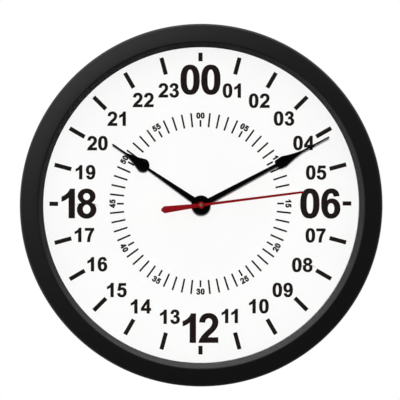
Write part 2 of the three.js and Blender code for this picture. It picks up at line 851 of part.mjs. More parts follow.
function circuitChip() {
  const dome = turned([
    [0, -chipDepth - chipThickness],
    [chipCrownRadius, -chipDepth - chipThickness + chipCrown],
    [chipRadius, -chipDepth],
    [0, -chipDepth],
  ], boltFacets);
  return dome.translate([(boardLeft + boardRight) / 2, 0, 0]);
}

// Strip at the cell's nub, rising through the partition to the circuit board
function positiveContact() {
  const left = -caseSideInner + seatGap;
  const x = [left, left + contactThickness];
  const half = contactWidth / 2;
  const pad = block(x, [cellMiddleY - half, partitionTop + half], [-cellDepth - half, -cellDepth + half]);
  const tail = block(x, [partitionTop + seatGap, partitionTop + contactWidth],
    [-boardDepth - boardThickness, -cellDepth]);
  return joined(pad, tail);
}

// Leaf at the cell's base, folded towards it, with a tail along the partition
function negativeContact() {
  const right = caseSideInner - seatGap;
  const inner = right - contactThickness;
  const leafTip = cellLeft() + cellLength + seatGap;
  const half = contactWidth / 2;
  const shape = polygon([
    [right, cellMiddleY - half],
    [right, contactTailTop],
    [0, contactTailTop],
    [0, contactTailTop - contactThickness],
    [inner, contactTailTop - contactThickness],
    [inner, cellMiddleY + half],
    [leafTip, cellMiddleY],
    [inner, cellMiddleY - half],
  ]);
  return plate(shape, -cellDepth - half, -cellDepth + half);
}

function cellLeft() {
  return -caseSideInner + 2 * seatGap + contactThickness;
}

function batteryCell() {
  const can = turned([
    [0, 0],
    [cellNubRadius, 0],
    [cellNubRadius, cellNubLength],
    [cellRadius - cellCorner, cellNubLength],
    [cellRadius, cellNubLength + cellCorner],
    [cellRadius, cellLength - cellCorner],
    [cellRadius - cellCorner, cellLength],
    [0, cellLength],
  ], 2 * arborFacets);
  return can.rotate([0, 90, 0]).translate([cellLeft(), cellMiddleY, -cellDepth]);
}

function softWasher() {
  const inner = bushRadius + seatGap;
  return tube(inner, softWasherRadius, movementFront + seatGap, dialBack - seatGap, boltFacets);
}

function threadedBush() {
  const flangeFrontZ = movementFront - bushFlangeDepth;
  const flangeBackZ = flangeFrontZ - bushFlange;
  return ring([
    [bushBore, flangeBackZ],
    [bushFlangeRadius, flangeBackZ],
    [bushFlangeRadius, flangeFrontZ],
    [bushRadius, flangeFrontZ],
    [bushRadius, dialFront + bushReach],
    [bushBore, dialFront + bushReach],
  ], boltFacets);
}

function dialWasher() {
  const back = dialFront + seatGap;
  return tube(bushRadius + seatGap, washerRadius, back, back + washerThickness, boltFacets);
}

function bushNut() {
  const back = dialFront + seatGap + washerThickness + seatGap;
  const front = back + nutHeight;
  const cornerRadius = nutAcrossFlats / 2 / Math.cos(Math.PI / nutSides);
  const bore = rod(bushRadius + pivotGap, back - seatGap, front + seatGap, boltFacets);
  return cut(rod(cornerRadius, back, front, nutSides), bore);
}

// Outline with a half above the hand's centre line and its mirror image below
function mirrored(path) {
  const upper = path.getPoints(curveFacets);
  const lower = upper.map(({ x, y }) => new THREE.Vector2(x, -y)).reverse();
  return new THREE.Shape([...upper, ...lower]);
}

// A hand with its hub disc and collar, pointing right, pressed on a pipe at the origin
function hubbedHand(shape, height, pipeRadius) {
  const back = dialFront + height;
  const front = back + handThickness;
  const collarRadius = pipeRadius + pivotGap + handCollar;
  return cut(
    joined(
      plate(shape, back, front),
      rod(hubDiscRadius, back, front, 2 * boltFacets),
      rod(collarRadius, back - handCollar, front, boltFacets),
    ),
    rod(pipeRadius + pivotGap, back - 2 * handCollar, front + seatGap, boltFacets),
  );
}

function hourHand() {
  const neckAngle = Math.PI - Math.asin(hourNeckHalfWidth / bulbRadius);
  const taperStart = placeAt([bulbDistance, 0], bulbRadius, bulbTaperAngle);
  const needleStart = bulbDistance + bulbTaper;
  const taperMiddle = (taperStart[0] + needleStart) / 2;
  const path = new THREE.Path();
  path.moveTo(0, hourStemHalfWidth);
  path.lineTo(bulbDistance - bulbRadius - hourNeckLength, hourNeckHalfWidth);
  path.absarc(bulbDistance, 0, bulbRadius, neckAngle, radians(bulbTaperAngle), true);
  path.quadraticCurveTo(taperMiddle, taperPull, needleStart, needleHalfWidth);
  path.lineTo(hourHandLength - tipHalfWidth, tipHalfWidth);
  path.lineTo(hourHandLength, tipHalfWidth / 2);
  return hubbedHand(mirrored(path), hourHandHeight, hourPipeRadius);
}

function minuteHand() {
  const shoulder = spadeStart + spadeShoulder;
  const needleStart = spadeWidest + spadeTaper;
  const path = new THREE.Path();
  path.moveTo(0, minuteStemHalfWidth);
  path.lineTo(spadeStart, minuteNeckHalfWidth);
  path.lineTo(shoulder, spadeShoulderHalfWidth);
  path.quadraticCurveTo((shoulder + spadeWidest) / 2, spadeHalfWidth, spadeWidest, spadeHalfWidth);
  path.quadraticCurveTo((spadeWidest + needleStart) / 2, taperPull, needleStart, needleHalfWidth);
  path.lineTo(minuteHandLength - tipHalfWidth, tipHalfWidth);
  path.lineTo(minuteHandLength, tipHalfWidth / 2);
  return hubbedHand(mirrored(path), minuteHandHeight, minutePipeRadius);
}

function secondHand() {
  const path = new THREE.Path();
  path.moveTo(-secondTailLength, tailEndHalfWidth);
  path.lineTo(tailPoint - secondTailLength, tailHalfWidth);
  path.lineTo(-secondHubRadius, tailNeckHalfWidth);
  path.lineTo(secondHubRadius, bladeHalfWidth);
  path.lineTo(secondHandLength - bladeTipHalfWidth, bladeTipHalfWidth);
  path.lineTo(secondHandLength, bladeTipHalfWidth / 2);
  const back = dialFront + secondHandHeight;
  const hubFront = back + secondHubHeight;
  return cut(
    joined(
      plate(mirrored(path), back, back + handThickness),
      rod(secondHubRadius, back, hubFront, boltFacets),
    ),
    rod(secondTubeRadius + pivotGap, back - seatGap, hubFront + seatGap, arborFacets),
  );
}

// Brass tube in the second hand's hub, closed in front, pushed on the seconds arbor
function secondHandTube() {
  const hubFront = dialFront + secondHandHeight + secondHubHeight;
  const back = dialFront + secondHandHeight - secondTubeProud;
  return ring([
    [0, hubFront + pivotGap],
    [secondsArborRadius + pivotGap, hubFront + pivotGap],
    [secondsArborRadius + pivotGap, back],
    [secondTubeRadius, back],
    [secondTubeRadius, hubFront + secondTubeProud],
    [0, hubFront + secondTubeProud],
  ], arborFacets);
}

function blackPlastic() {
  return new THREE.MeshStandardMaterial({ color: 0x1b1b1d, roughness: 0.45, metalness: 0 });
}

function darkPlastic() {
  return new THREE.MeshStandardMaterial({ color: 0x2a2a2c, roughness: 0.6, metalness: 0 });
}

function clearGlass() {
  const glass = { color: 0xf4f8f8, roughness: 0.05, metalness: 0, transparent: true, opacity: 0.2 };
  return new THREE.MeshStandardMaterial(glass);
}

function whiteDial() {
  return new THREE.MeshStandardMaterial({ color: 0xf7f7f5, roughness: 0.7, metalness: 0 });
}

function blackPaint() {
  return new THREE.MeshStandardMaterial({ color: 0x0d0d0e, roughness: 0.5, metalness: 0 });
}

function redPaint() {
  return new THREE.MeshStandardMaterial({ color: 0xa31420, roughness: 0.4, metalness: 0 });
}

function whitePlastic() {
  return new THREE.MeshStandardMaterial({ color: 0xe9e7df, roughness: 0.5, metalness: 0 });
}

function brass() {
  return new THREE.MeshStandardMaterial({ color: 0xb59a55, roughness: 0.35, metalness: 1 });
}

function steel() {
  return new THREE.MeshStandardMaterial({ color: 0xb8bbbf, roughness: 0.35, metalness: 1 });
}

function magnetSteel() {
  return new THREE.MeshStandardMaterial({ color: 0x55565a, roughness: 0.4, metalness: 1 });
}

function copperWire() {
  return new THREE.MeshStandardMaterial({ color: 0xa9562c, roughness: 0.4, metalness: 0.8 });
}

function boardGreen() {
  return new THREE.MeshStandardMaterial({ color: 0x2f6b45, roughness: 0.6, metalness: 0 });
}

function rubber() {
  return new THREE.MeshStandardMaterial({ color: 0x202020, roughness: 0.9, metalness: 0 });
}

function cellSleeve() {
  return new THREE.MeshStandardMaterial({ color: 0x3c4a58, roughness: 0.35, metalness: 0.2 });
}

function addPiece(parent, name, solid, material) {
  const mesh = new THREE.Mesh(toGeometry(solid), material);
  mesh.name = name;
  parent.add(mesh);
  return mesh;
}

function addGroup(parent, [x, y], z = 0) {
  const group = new THREE.Group();
  group.position.set(x, y, z);
  parent.add(group);
  return group;
}

function addFrameAndDial(clock) {
  addPiece(clock, 'front_frame', frontFrame(), blackPlastic());
  addPiece(clock, 'lens', lens(), clearGlass());
  addPiece(clock, 'spacer_ring', spacerRing(), blackPlastic());
  addPiece(clock, 'dial', dial(), whiteDial());
  addPiece(clock, 'rear_cover', rearCover(), blackPlastic());
  coverScrewPlaces().forEach((screwPlace, index) => {
    const place = addGroup(clock, screwPlace, flangeBack - seatGap);
    addPiece(place, `cover_screw_${index + 1}`, screw(screwLength), steel());
  });
}

function addHanger(clock) {
  addPiece(clock, 'hanger_plate', hangerPlate(), steel());
  hangerScrewPlaces().forEach((screwPlace, index) => {
    const place = addGroup(clock, screwPlace, hangerBack() - seatGap);
    addPiece(place, `hanger_screw_${index + 1}`, screw(hangerScrewLength), steel());
  });
}

function addFastening(clock) {
  addPiece(clock, 'soft_washer', softWasher(), rubber());
  addPiece(clock, 'threaded_bush', threadedBush(), brass());
  addPiece(clock, 'dial_washer', dialWasher(), steel());
  addPiece(clock, 'bush_nut', bushNut(), brass());
}

function addMovement(clock) {
  const movement = addGroup(clock, handAxis, movementFront);
  addPiece(movement, 'movement_case', movementCase(), darkPlastic());
  addPiece(movement, 'movement_cover', movementCover(), darkPlastic());
  addPiece(movement, 'train_plate', trainPlate(), whitePlastic());
  addPiece(movement, 'seconds_wheel', secondsWheel(), whitePlastic());
  addPiece(movement, 'centre_wheel', centreWheel(), whitePlastic());
  addPiece(movement, 'minute_pinion', minutePinion(), whitePlastic());
  addPiece(movement, 'hour_wheel', hourWheel(), whitePlastic());
  addPiece(addGroup(movement, thirdPlace), 'third_wheel', thirdWheel(), whitePlastic());
  const intermediateAxis = addGroup(movement, intermediatePlace);
  addPiece(intermediateAxis, 'intermediate_wheel', intermediateWheel(), whitePlastic());
  const rotorAxis = addGroup(movement, rotorPlace);
  addPiece(rotorAxis, 'rotor_pinion', rotorPinion(), whitePlastic());
  addPiece(rotorAxis, 'rotor_magnet', rotorMagnet(), magnetSteel());
  const motionAxis = addGroup(movement, motionPlace);
  addPiece(motionAxis, 'motion_wheel', motionWheel(), whitePlastic());
  addPiece(motionAxis, 'setting_knob', settingKnob(), darkPlastic());
  addMotor(movement);
  addCircuit(movement);
}

function addMotor(movement) {
  addPiece(movement, 'stator', stator(), steel());
  addPiece(movement, 'coil_core', coilCore(), steel());
  addPiece(movement, 'coil_bobbin', coilBobbin(), whitePlastic());
  addPiece(movement, 'coil_winding', coilWinding(), copperWire());
}

function addCircuit(movement) {
  addPiece(movement, 'circuit_board', circuitBoard(), boardGreen());
  addPiece(movement, 'quartz_crystal', quartzCrystal(), steel());
  addPiece(movement, 'circuit_chip', circuitChip(), rubber());
  addPiece(movement, 'positive_contact', positiveContact(), steel());
  addPiece(movement, 'negative_contact', negativeContact(), steel());
  addPiece(movement, 'battery_cell', batteryCell(), cellSleeve());
}

function addHands(clock) {
  const hour = addPiece(clock, 'hour_hand', hourHand(), blackPaint());
  const minute = addPiece(clock, 'minute_hand', minuteHand(), blackPaint());
  const second = addPiece(clock, 'second_hand', secondHand(), redPaint());
  addPiece(clock, 'second_hand_tube', secondHandTube(), brass());
  hour.rotation.z = radians(hourHandAngle);
  minute.rotation.z = radians(minuteHandAngle);
  second.rotation.z = radians(secondHandAngle);
}

// The whole clock, turned to face -Y and lowered so that the nail's axis is the origin
const wallClock = new THREE.Group();
const clock = addGroup(wallClock, handAxis);
clock.rotation.x = Math.PI / 2;
clock.position.z = -hangerHeight;
addFrameAndDial(clock);
addHanger(clock);
addFastening(clock);
addMovement(clock);
addHands(clock);

export default wallClock;
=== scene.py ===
import math

import bmesh
import bpy
from mathutils import Matrix, Vector


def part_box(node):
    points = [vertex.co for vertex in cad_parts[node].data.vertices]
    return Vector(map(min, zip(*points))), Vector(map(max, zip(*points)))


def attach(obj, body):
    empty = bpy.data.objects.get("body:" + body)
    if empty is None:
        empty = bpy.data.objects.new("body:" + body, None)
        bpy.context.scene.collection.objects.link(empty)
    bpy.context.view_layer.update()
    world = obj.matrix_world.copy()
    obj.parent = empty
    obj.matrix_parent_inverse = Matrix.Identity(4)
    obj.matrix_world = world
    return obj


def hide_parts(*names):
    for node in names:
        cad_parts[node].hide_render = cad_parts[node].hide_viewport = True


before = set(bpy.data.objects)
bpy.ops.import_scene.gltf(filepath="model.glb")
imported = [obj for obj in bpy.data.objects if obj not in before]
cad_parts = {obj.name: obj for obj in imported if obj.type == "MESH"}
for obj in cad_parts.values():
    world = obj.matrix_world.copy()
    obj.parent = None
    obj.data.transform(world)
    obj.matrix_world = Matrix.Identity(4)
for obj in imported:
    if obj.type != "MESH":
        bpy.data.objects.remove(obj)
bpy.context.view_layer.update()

MM = 0.001

# Places read from the frame: hands' axis, and heights above the wall in millimetres
FRAME_LOW, FRAME_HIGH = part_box("front_frame")
AXIS_Z = (FRAME_LOW.z + FRAME_HIGH.z) / 2
FRAME_RADIUS = (FRAME_HIGH.x - FRAME_LOW.x) / 2 / MM
CREST = -FRAME_LOW.y / MM


def heights(node):
    """Back and front of a node above the wall, in millimetres."""
    low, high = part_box(node)
    return -high.y / MM, -low.y / MM


def radius_of(node):
    """Radius of a round node, in millimetres."""
    low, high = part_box(node)
    return (high.x - low.x) / 2 / MM


DIAL_BACK, DIAL_FRONT = heights("dial")
LENS_BACK, LENS_FRONT = heights("lens")
SPACER_BACK, SPACER_FRONT = heights("spacer_ring")

# Frame section, lens, spacer ring and dial in millimetres
RIM_WIDTH = 18.8
BEVEL_WIDTH = 4.25
BEVEL_HEIGHT = 4.35
LIP_ROUNDING = 0.9
CREST_WIDTH = 1.6
RIM_ROUNDING = 2.4
RIM_DROP = 3.25
FACE_DROP = 3.25
FACE_CONE = 0.6
BACK_RIM_INSET = 10.3
BACK_RIM_CHAMFER = 0.5
BACK_RIM_THINNING = 0.4
SKIRT_WALL = 2.5
FACE_SKIN = 3.0
FOOT_CORNER = 0.35
LEDGE = 1.95
BORE_WALL = 1.6
BORE_OVERRUN = 1.5
SEAT_GAP = 0.3
LENS_OVERLAP = 3.75
LENS_FILLET = 0.25
DIAL_OVERLAP = 6.65
DIAL_BORE_RADIUS = 4.3
DIAL_EDGE = 0.1
SPACER_INSET = 0.4
SPACER_FILLET = 0.3
LIP_RADIUS = FRAME_RADIUS - RIM_WIDTH
OPENING_RADIUS = LIP_RADIUS - BEVEL_WIDTH
WIDEST_HEIGHT = CREST - FACE_DROP - RIM_DROP

# Fineness of round shapes
RING_SEGMENTS = 288
DISC_SEGMENTS = 96
HUB_SEGMENTS = 64
PIN_SEGMENTS = 48
FACE_STEPS = 28
ROUNDING_STEPS = 10
CORNER_STEPS = 4
BULB_STEPS = 24
TAPER_STEPS = 14
SHOULDER_STEPS = 6
CURVE_STEPS = 8

# Edges sharper than these angles in degrees stay sharp, and points closer than this many metres merge
SHARP_ANGLE = 32
FRAME_SHARP_ANGLE = 28
FLAT_ANGLE = 5
MERGE_DISTANCE = 1e-7
SHORTEST_EDGE = 1e-8

# Largest share of a side that the rounding of one corner takes
FILLET_SHARE = 0.45

# Divisions of the dial, with their steps in degrees
HOURS = 24
HOUR_STEP = 360 // HOURS
MINUTES = 60
MINUTE_STEP = 360 // MINUTES
MINUTES_PER_FIGURE = 5

# Print on the dial in millimetres
INK_HEIGHT = 0.04
INK_SPREAD = 0.27
SMALL_INK_SPREAD = 0.3
PRINT_CENTRE = (-0.3, 1.13)
HOUR_TICK_OUTER = 147.95
HOUR_TICK_INNER = 131.5
QUARTER_TICK_INNER = 139.95
HOUR_TICK_WIDTH = 3.6
MINUTE_TICK_OUTER = 89.0
MINUTE_TICK_INNER = 75.65
FIFTH_TICK_OUTER = 81.75
MINUTE_TICK_WIDTH = 1.15
MINUTE_FIGURE_RADIUS = 86.4
MINUTE_FIGURE_HEIGHT = 5.45
HOUR_FIGURE_HEIGHT = 13.65
HOUR_FIGURE_STRETCH = 1.033
HOUR_FIGURE_TRACKING = -3.0
HOUR_FIGURE_RADIUS = 117.3
HOUR_FIGURE_DRAW_IN = 3.0
DRAW_IN_POWER = 8
QUARTER_FIGURE_HEIGHT = 28.6
QUARTER_FIGURE_STRETCH = 1.01
QUARTER_FIGURE_RADII = {0: 121.6, 6: 117.75, 12: 122.3, 18: 119.25}
QUARTER_FIGURE_TRACKING = {0: -7.5, 6: -7.5, 12: -19.5, 18: -21.5}

# How far each hour's figures are off their even place, to the right and up, in millimetres
FIGURE_NUDGES = {
    1: (1.0, -0.2), 2: (-0.5, 0.2), 3: (-0.8, 0.7), 4: (-0.2, 0.8), 5: (0.3, 0.1),
    7: (-0.2, -1.0), 8: (-1.5, -1.7), 9: (-2.0, -2.1), 10: (-0.8, -0.1), 11: (-1.0, 0.7),
    13: (-0.2, 0.0), 14: (-0.3, -0.1), 15: (0.7, -1.9), 16: (0.3, -0.7), 17: (-0.6, -0.2),
    18: (0.0, 0.3), 19: (0.5, 0.6), 20: (0.4, 0.8), 21: (0.5, 0.6), 22: (1.9, 1.0), 23: (-1.5, 0.1),
}

# Hands in millimetres
BLADE_THICKNESS = 0.6
HAND_EDGE = 0.09
TIP_HALF_WIDTH = 0.75
NEEDLE_HALF_WIDTH = 0.88
TAPER_PULL = 1.75
HOUR_STEM_HALF_WIDTH = 3.15
HOUR_NECK_HALF_WIDTH = 1.12
HOUR_NECK_LENGTH = 1.2
BULB_DISTANCE = 69.1
BULB_RADIUS = 6.45
BULB_TAPER = 21.0
BULB_TAPER_ANGLE = 68
HOUR_LENGTH = 105.5
MINUTE_STEM_HALF_WIDTH = 2.75
MINUTE_NECK_HALF_WIDTH = 1.5
SPADE_START = 83.0
SPADE_SHOULDER = 3.2
SPADE_SHOULDER_HALF_WIDTH = 4.5
SPADE_HALF_WIDTH = 5.15
SPADE_WIDEST = 92.5
SPADE_TAPER = 21.0
MINUTE_LENGTH = 142.6
SECOND_LENGTH = 101.0
SECOND_TAIL = 39.4
TAIL_HALF_WIDTH = 3.5
TAIL_NECK_HALF_WIDTH = 1.85
TAIL_END_HALF_WIDTH = 1.0
TAIL_POINT = 3.0
BLADE_HALF_WIDTH = 1.35
BLADE_TIP_HALF_WIDTH = 1.1
HUB_DISC_RADIUS = 9.45
HUB_DISC_FILLET = 0.12
HAND_BORE_RADII = {"hour_hand": 2.9, "minute_hand": 2.0, "second_hand": 1.5}
SECOND_HUB_RADIUS = 3.4
SECOND_HUB_FILLET = 0.2
PIN_RADIUS = 1.35
PIN_FILLET = 0.35

# Where the hands point, in degrees anticlockwise from the right
HOUR_ANGLE = 145.5
MINUTE_ANGLE = 27.95
SECOND_ANGLE = 7.2

# Dry cell: shares of its length that its steel end and its end with the band take
CELL_END = 0.04
CELL_BAND = 0.27

# Photograph: where the frame's widest ring stands in its 400 x 400 pixels
IMAGE_SIZE = 400
RING_CENTRE_PIXEL = (201.3, 205.3)
RING_RADIUS_PIXEL = 181.5

# Camera: degrees left of and above the clock's axis, metres away, and sensor in millimetres
CAMERA_LEFT = 2.0
CAMERA_ABOVE = 2.0
CAMERA_DISTANCE = 8.0
CAMERA_REACH = 100
SENSOR_WIDTH = 36.0

# Floor: its disc in millimetres, and how far below and behind the clock it stands in metres
FLOOR_RADIUS = 800
FLOOR_THICKNESS = 20
FLOOR_DROP = 1.2
FLOOR_BACK = 0.4

# Lamp: strength, angle in degrees, and the way its light travels
KEY_STRENGTH = 3.44
KEY_ANGLE = 13
KEY_TRAVEL = (0.035, 1.0, -0.26)

# Studio that lights dull surfaces: all round, from above, and from behind the clock
AMBIENT = 0.08
AMBIENT_ABOVE = 0.22
BACKDROP_STRENGTH = 0.8
BACKDROP_EDGE = 8.0

# Studio that glossy surfaces mirror: a soft box in front, the sides, and a dark card straight ahead
FRONT_BASE = 0.08
SOFTBOX = (-0.296, -0.883, 0.365)
SOFTBOX_SPREAD = 13.5
SOFTBOX_STRENGTH = 2.45
SIDE_BASE = 0.25
SIDE_TOP = 4.8
SIDE_LEFT = 2.1
SIDE_RIGHT = 0.5
SIDE_SPREAD = 1.5
SIDE_FADE = 3.0
CARD_SIZE = 0.03
CARD_EDGE = 25


def point(x, y, height):
    """World place of a point seen from the front: right and up from the hands' axis, and above the wall."""
    return Vector((x * MM, -height * MM, AXIS_Z + y * MM))


def add_object(name, mesh):
    """New object in the scene from a mesh."""
    piece = bpy.data.objects.new(name, mesh)
    bpy.context.scene.collection.objects.link(piece)
    return piece


def smooth(mesh, sharp):
    """Smooth shading, with edges past the angle kept sharp."""
    for polygon in mesh.polygons:
        polygon.use_smooth = True
    mesh.set_sharp_from_angle(angle=math.radians(sharp))


def tidy_mesh(mesh, sharp):
    """Points merged, normals outward and smooth shading."""
    work = bmesh.new()
    work.from_mesh(mesh)
    bmesh.ops.remove_doubles(work, verts=work.verts, dist=MERGE_DISTANCE)
    bmesh.ops.recalc_face_normals(work, faces=work.faces)
    work.to_mesh(mesh)
    work.free()
    smooth(mesh, sharp)
    mesh.update()


def join(name, pieces):
    """One object from several, each of which stays a closed body of its own."""
    work = bmesh.new()
    for piece in pieces:
        work.from_mesh(piece.data)
        bpy.data.objects.remove(piece)
    mesh = bpy.data.meshes.new(name)
    work.to_mesh(mesh)
    work.free()
    smooth(mesh, SHARP_ANGLE)
    return add_object(name, mesh)


def section(inner, outer, back, front):
    """Half section of a plain ring or disc."""
    return [(inner, back), (outer, back), (outer, front), (inner, front)]


def revolve(name, profile, segments=RING_SEGMENTS, sharp=SHARP_ANGLE):
    """Ring or disc turned about the hands' axis, from a closed outline of radii and heights."""
    vertices = []
    for step in range(segments):
        angle = 2 * math.pi * step / segments
        for radius, height in profile:
            vertices.append(point(radius * math.cos(angle), radius * math.sin(angle), height))
    count = len(profile)
    faces = []
    for step in range(segments):
        following = (step + 1) % segments
        for corner in range(count):
            after = (corner + 1) % count
            faces.append((step * count + corner, following * count + corner,
                          following * count + after, step * count + after))
    mesh = bpy.data.meshes.new(name)
    mesh.from_pydata([tuple(v) for v in vertices], [], faces)
    work = bmesh.new()
    work.from_mesh(mesh)
    bmesh.ops.remove_doubles(work, verts=work.verts, dist=MERGE_DISTANCE)
    bmesh.ops.dissolve_degenerate(work, edges=work.edges, dist=SHORTEST_EDGE)
    work.to_mesh(mesh)
    work.free()
    tidy_mesh(mesh, sharp)
    return add_object(name, mesh)


def filleted(outline, radius):
    """The outline with each corner rounded; radius is one number or one for each corner."""
    radii = radius if isinstance(radius, (list, tuple)) else [radius] * len(outline)
    rounded = []
    for index, corner in enumerate(outline):
        here = Vector(corner)
        before = Vector(outline[index - 1]) - here
        after = Vector(outline[(index + 1) % len(outline)]) - here
        reach = min(radii[index], before.length * FILLET_SHARE, after.length * FILLET_SHARE)
        if reach <= 0:
            rounded.append(tuple(here))
            continue
        start = here + before.normalized() * reach
        end = here + after.normalized() * reach
        for step in range(CORNER_STEPS + 1):
            share = step / CORNER_STEPS
            place = start.lerp(here, share).lerp(here.lerp(end, share), share)
            rounded.append(tuple(place))
    return rounded


def quadratic(start, control, end, steps):
    """Points along a curve with one control point, without its first."""
    a, b, c = Vector(start), Vector(control), Vector(end)
    points = []
    for step in range(1, steps + 1):
        t = step / steps
        points.append(tuple(a.lerp(b, t).lerp(b.lerp(c, t), t)))
    return points


def cubic(start, first, second, end, steps):
    """Points along a curve with two control points, without its first."""
    a, b, c, d = Vector(start), Vector(first), Vector(second), Vector(end)
    points = []
    for step in range(1, steps + 1):
        t = step / steps
        ab, bc, cd = a.lerp(b, t), b.lerp(c, t), c.lerp(d, t)
        points.append(tuple(ab.lerp(bc, t).lerp(bc.lerp(cd, t), t)))
    return points


def arc(centre, radius, start, end, steps):
    """Points on a circle from one angle to another, in degrees."""
    points = []
    for step in range(steps + 1):
        angle = math.radians(start + (end - start) * step / steps)
        points.append((centre[0] + radius * math.cos(angle), centre[1] + radius * math.sin(angle)))
    return points


def inside(spot, outline):
    """True if a point lies within a closed outline."""
    x, y = spot
    crossings = 0
    for (ax, ay), (bx, by) in zip(outline, outline[1:] + outline[:1]):
        if (ay > y) != (by > y) and x < ax + (y - ay) * (bx - ax) / (by - ay):
            crossings += 1
    return crossings % 2 == 1


def wound(outline, hole):
    """The outline, anticlockwise, or clockwise for a hole."""
    area = sum(ax * by - bx * ay for (ax, ay), (bx, by) in zip(outline, outline[1:] + outline[:1]))
    return outline if (area > 0) != hole else outline[::-1]


def plate(name, contours, back, front, edge=0.0, spread=0.0, sharp=SHARP_ANGLE):
    """Flat piece parallel to the wall from closed contours, inner ones being holes, with rounded edges."""
    curve = bpy.data.curves.new(name, "CURVE")
    curve.dimensions = "2D"
    curve.fill_mode = "BOTH"
    curve.extrude = (front - back) / 2 * MM - edge * MM
    curve.bevel_depth = edge * MM
    curve.offset = (spread - edge) * MM
    curve.bevel_resolution = 2
    for contour in contours:
        hole = any(inside(contour[0], other) for other in contours if other is not contour)
        spline = curve.splines.new("POLY")
        spline.points.add(len(contour) - 1)
        for place, (x, y) in zip(spline.points, wound(contour, hole)):
            place.co = (x * MM, y * MM, 0, 1)
        spline.use_cyclic_u = True
    flat = bpy.data.objects.new(name, curve)
    bpy.context.scene.collection.objects.link(flat)
    bpy.context.view_layer.update()
    mesh = bpy.data.meshes.new_from_object(flat.evaluated_get(bpy.context.evaluated_depsgraph_get()))
    bpy.data.objects.remove(flat)
    bpy.data.curves.remove(curve)
    mesh.name = name
    upright = Matrix.Rotation(math.pi / 2, 4, "X")
    mesh.transform(Matrix.Translation(point(0, 0, (back + front) / 2)) @ upright)
    tidy_mesh(mesh, sharp)
    return add_object(name, mesh)


def circle(radius, steps):
    """Points of a circle about the hands' axis."""
    return arc((0, 0), radius, 0, 360 - 360 / steps, steps - 1)


def turn(piece, angle):
    """Turns a piece about the hands' axis, anticlockwise as seen from the front."""
    axis = point(0, 0, 0)
    spin = Matrix.Rotation(math.radians(-angle), 4, "Y")
    piece.data.transform(Matrix.Translation(axis) @ spin @ Matrix.Translation(-axis))
    return piece


def finish_piece(piece, material, body, slot, *nodes):
    """Material of a piece, the body that it rides on and the nodes that it stands for; the slot argument is
    not used.
    """
    piece.data.materials.clear()
    piece.data.materials.append(material)
    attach(piece, body)
    if nodes:
        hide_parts(*nodes)
    return piece


class Shader:
    """A material's node tree, with short ways to add and join nodes."""

    def __init__(self, name):
        self.material = bpy.data.materials.new(name)
        self.material.use_nodes = True
        self.tree = self.material.node_tree
        self.surface = self.tree.nodes["Principled BSDF"]
        self.output = self.tree.nodes["Material Output"]
        self.place = self.node("ShaderNodeTexCoord").outputs["Object"]

    def node(self, kind):
        return self.tree.nodes.new(kind)

    def link(self, source, target):
        self.tree.links.new(source, target)

    def noise(self, scale, detail=3.0, roughness=0.5):
        made = self.node("ShaderNodeTexNoise")
        made.inputs["Scale"].default_value = scale
        made.inputs["Detail"].default_value = detail
        made.inputs["Roughness"].default_value = roughness
        self.link(self.place, made.inputs["Vector"])
        return made.outputs["Fac"]

    def ramp(self, source, stops):
        """A share from 0 to 1 turned into a colour."""
        made = self.node("ShaderNodeValToRGB")
        while len(made.color_ramp.elements) < len(stops):
            made.color_ramp.elements.new(0.5)
        for element, (position, colour) in zip(made.color_ramp.elements, stops):
            element.position = position
            element.color = (*colour, 1.0)
        self.link(source, made.inputs["Fac"])
        return made.outputs["Color"]

    def spread(self, source, low, high):
        """A share from 0 to 1 turned into a range of values."""
        made = self.node("ShaderNodeMapRange")
        made.inputs["To Min"].default_value = low
        made.inputs["To Max"].default_value = high
        self.link(source, made.inputs["Value"])
        return made.outputs["Result"]

    def colour(self, source, stops):
        self.link(self.ramp(source, stops), self.surface.inputs["Base Color"])

    def roughness(self, source, low, high):
        self.link(self.spread(source, low, high), self.surface.inputs["Roughness"])

    def bump(self, source, strength, distance):
        """Relief of the surface, its distance in millimetres."""
        made = self.node("ShaderNodeBump")
        made.inputs["Strength"].default_value = strength
        made.inputs["Distance"].default_value = distance * MM
        self.link(source, made.inputs["Height"])
        self.link(made.outputs["Normal"], self.surface.inputs["Normal"])

    def set(self, **values):
        """Even values, set on the surface's own sockets."""
        names = {"metallic": "Metallic", "ior": "IOR", "specular": "Specular IOR Level",
                 "transmission": "Transmission Weight", "roughness": "Roughness"}
        for key, value in values.items():
            self.surface.inputs[names[key]].default_value = value


def varied(colour, darker, lighter, margin=0.2):
    """Two stops of a ramp, either side of its middle: the colour made darker and lighter."""
    low = tuple(channel * (1 - darker) for channel in colour)
    high = tuple(channel * (1 + lighter) for channel in colour)
    return [(0.5 - margin, low), (0.5 + margin, high)]


def moulded_plastic(name, colour, roughness, grain, grain_depth, variation=0.06, specular=0.5):
    """Injection moulded plastic: slight clouding of colour and gloss, and a fine grain."""
    shader = Shader(name)
    shader.colour(shader.noise(35, detail=4), varied(colour, variation, variation))
    shader.roughness(shader.noise(160, detail=2), roughness - 0.03, roughness + 0.03)
    shader.bump(shader.noise(grain, detail=2, roughness=0.6), strength=grain_depth, distance=0.05)
    shader.set(specular=specular)
    return shader.material


def coated_metal(name, colour, roughness, variation=0.08, specular=0.5):
    """Paint on sheet aluminium, with a faint orange peel."""
    shader = Shader(name)
    shader.colour(shader.noise(60, detail=3), varied(colour, variation, variation, margin=0.15))
    shader.roughness(shader.noise(300, detail=2), roughness - 0.04, roughness + 0.04)
    shader.bump(shader.noise(900, detail=1), strength=0.12, distance=0.04)
    shader.set(specular=specular)
    return shader.material


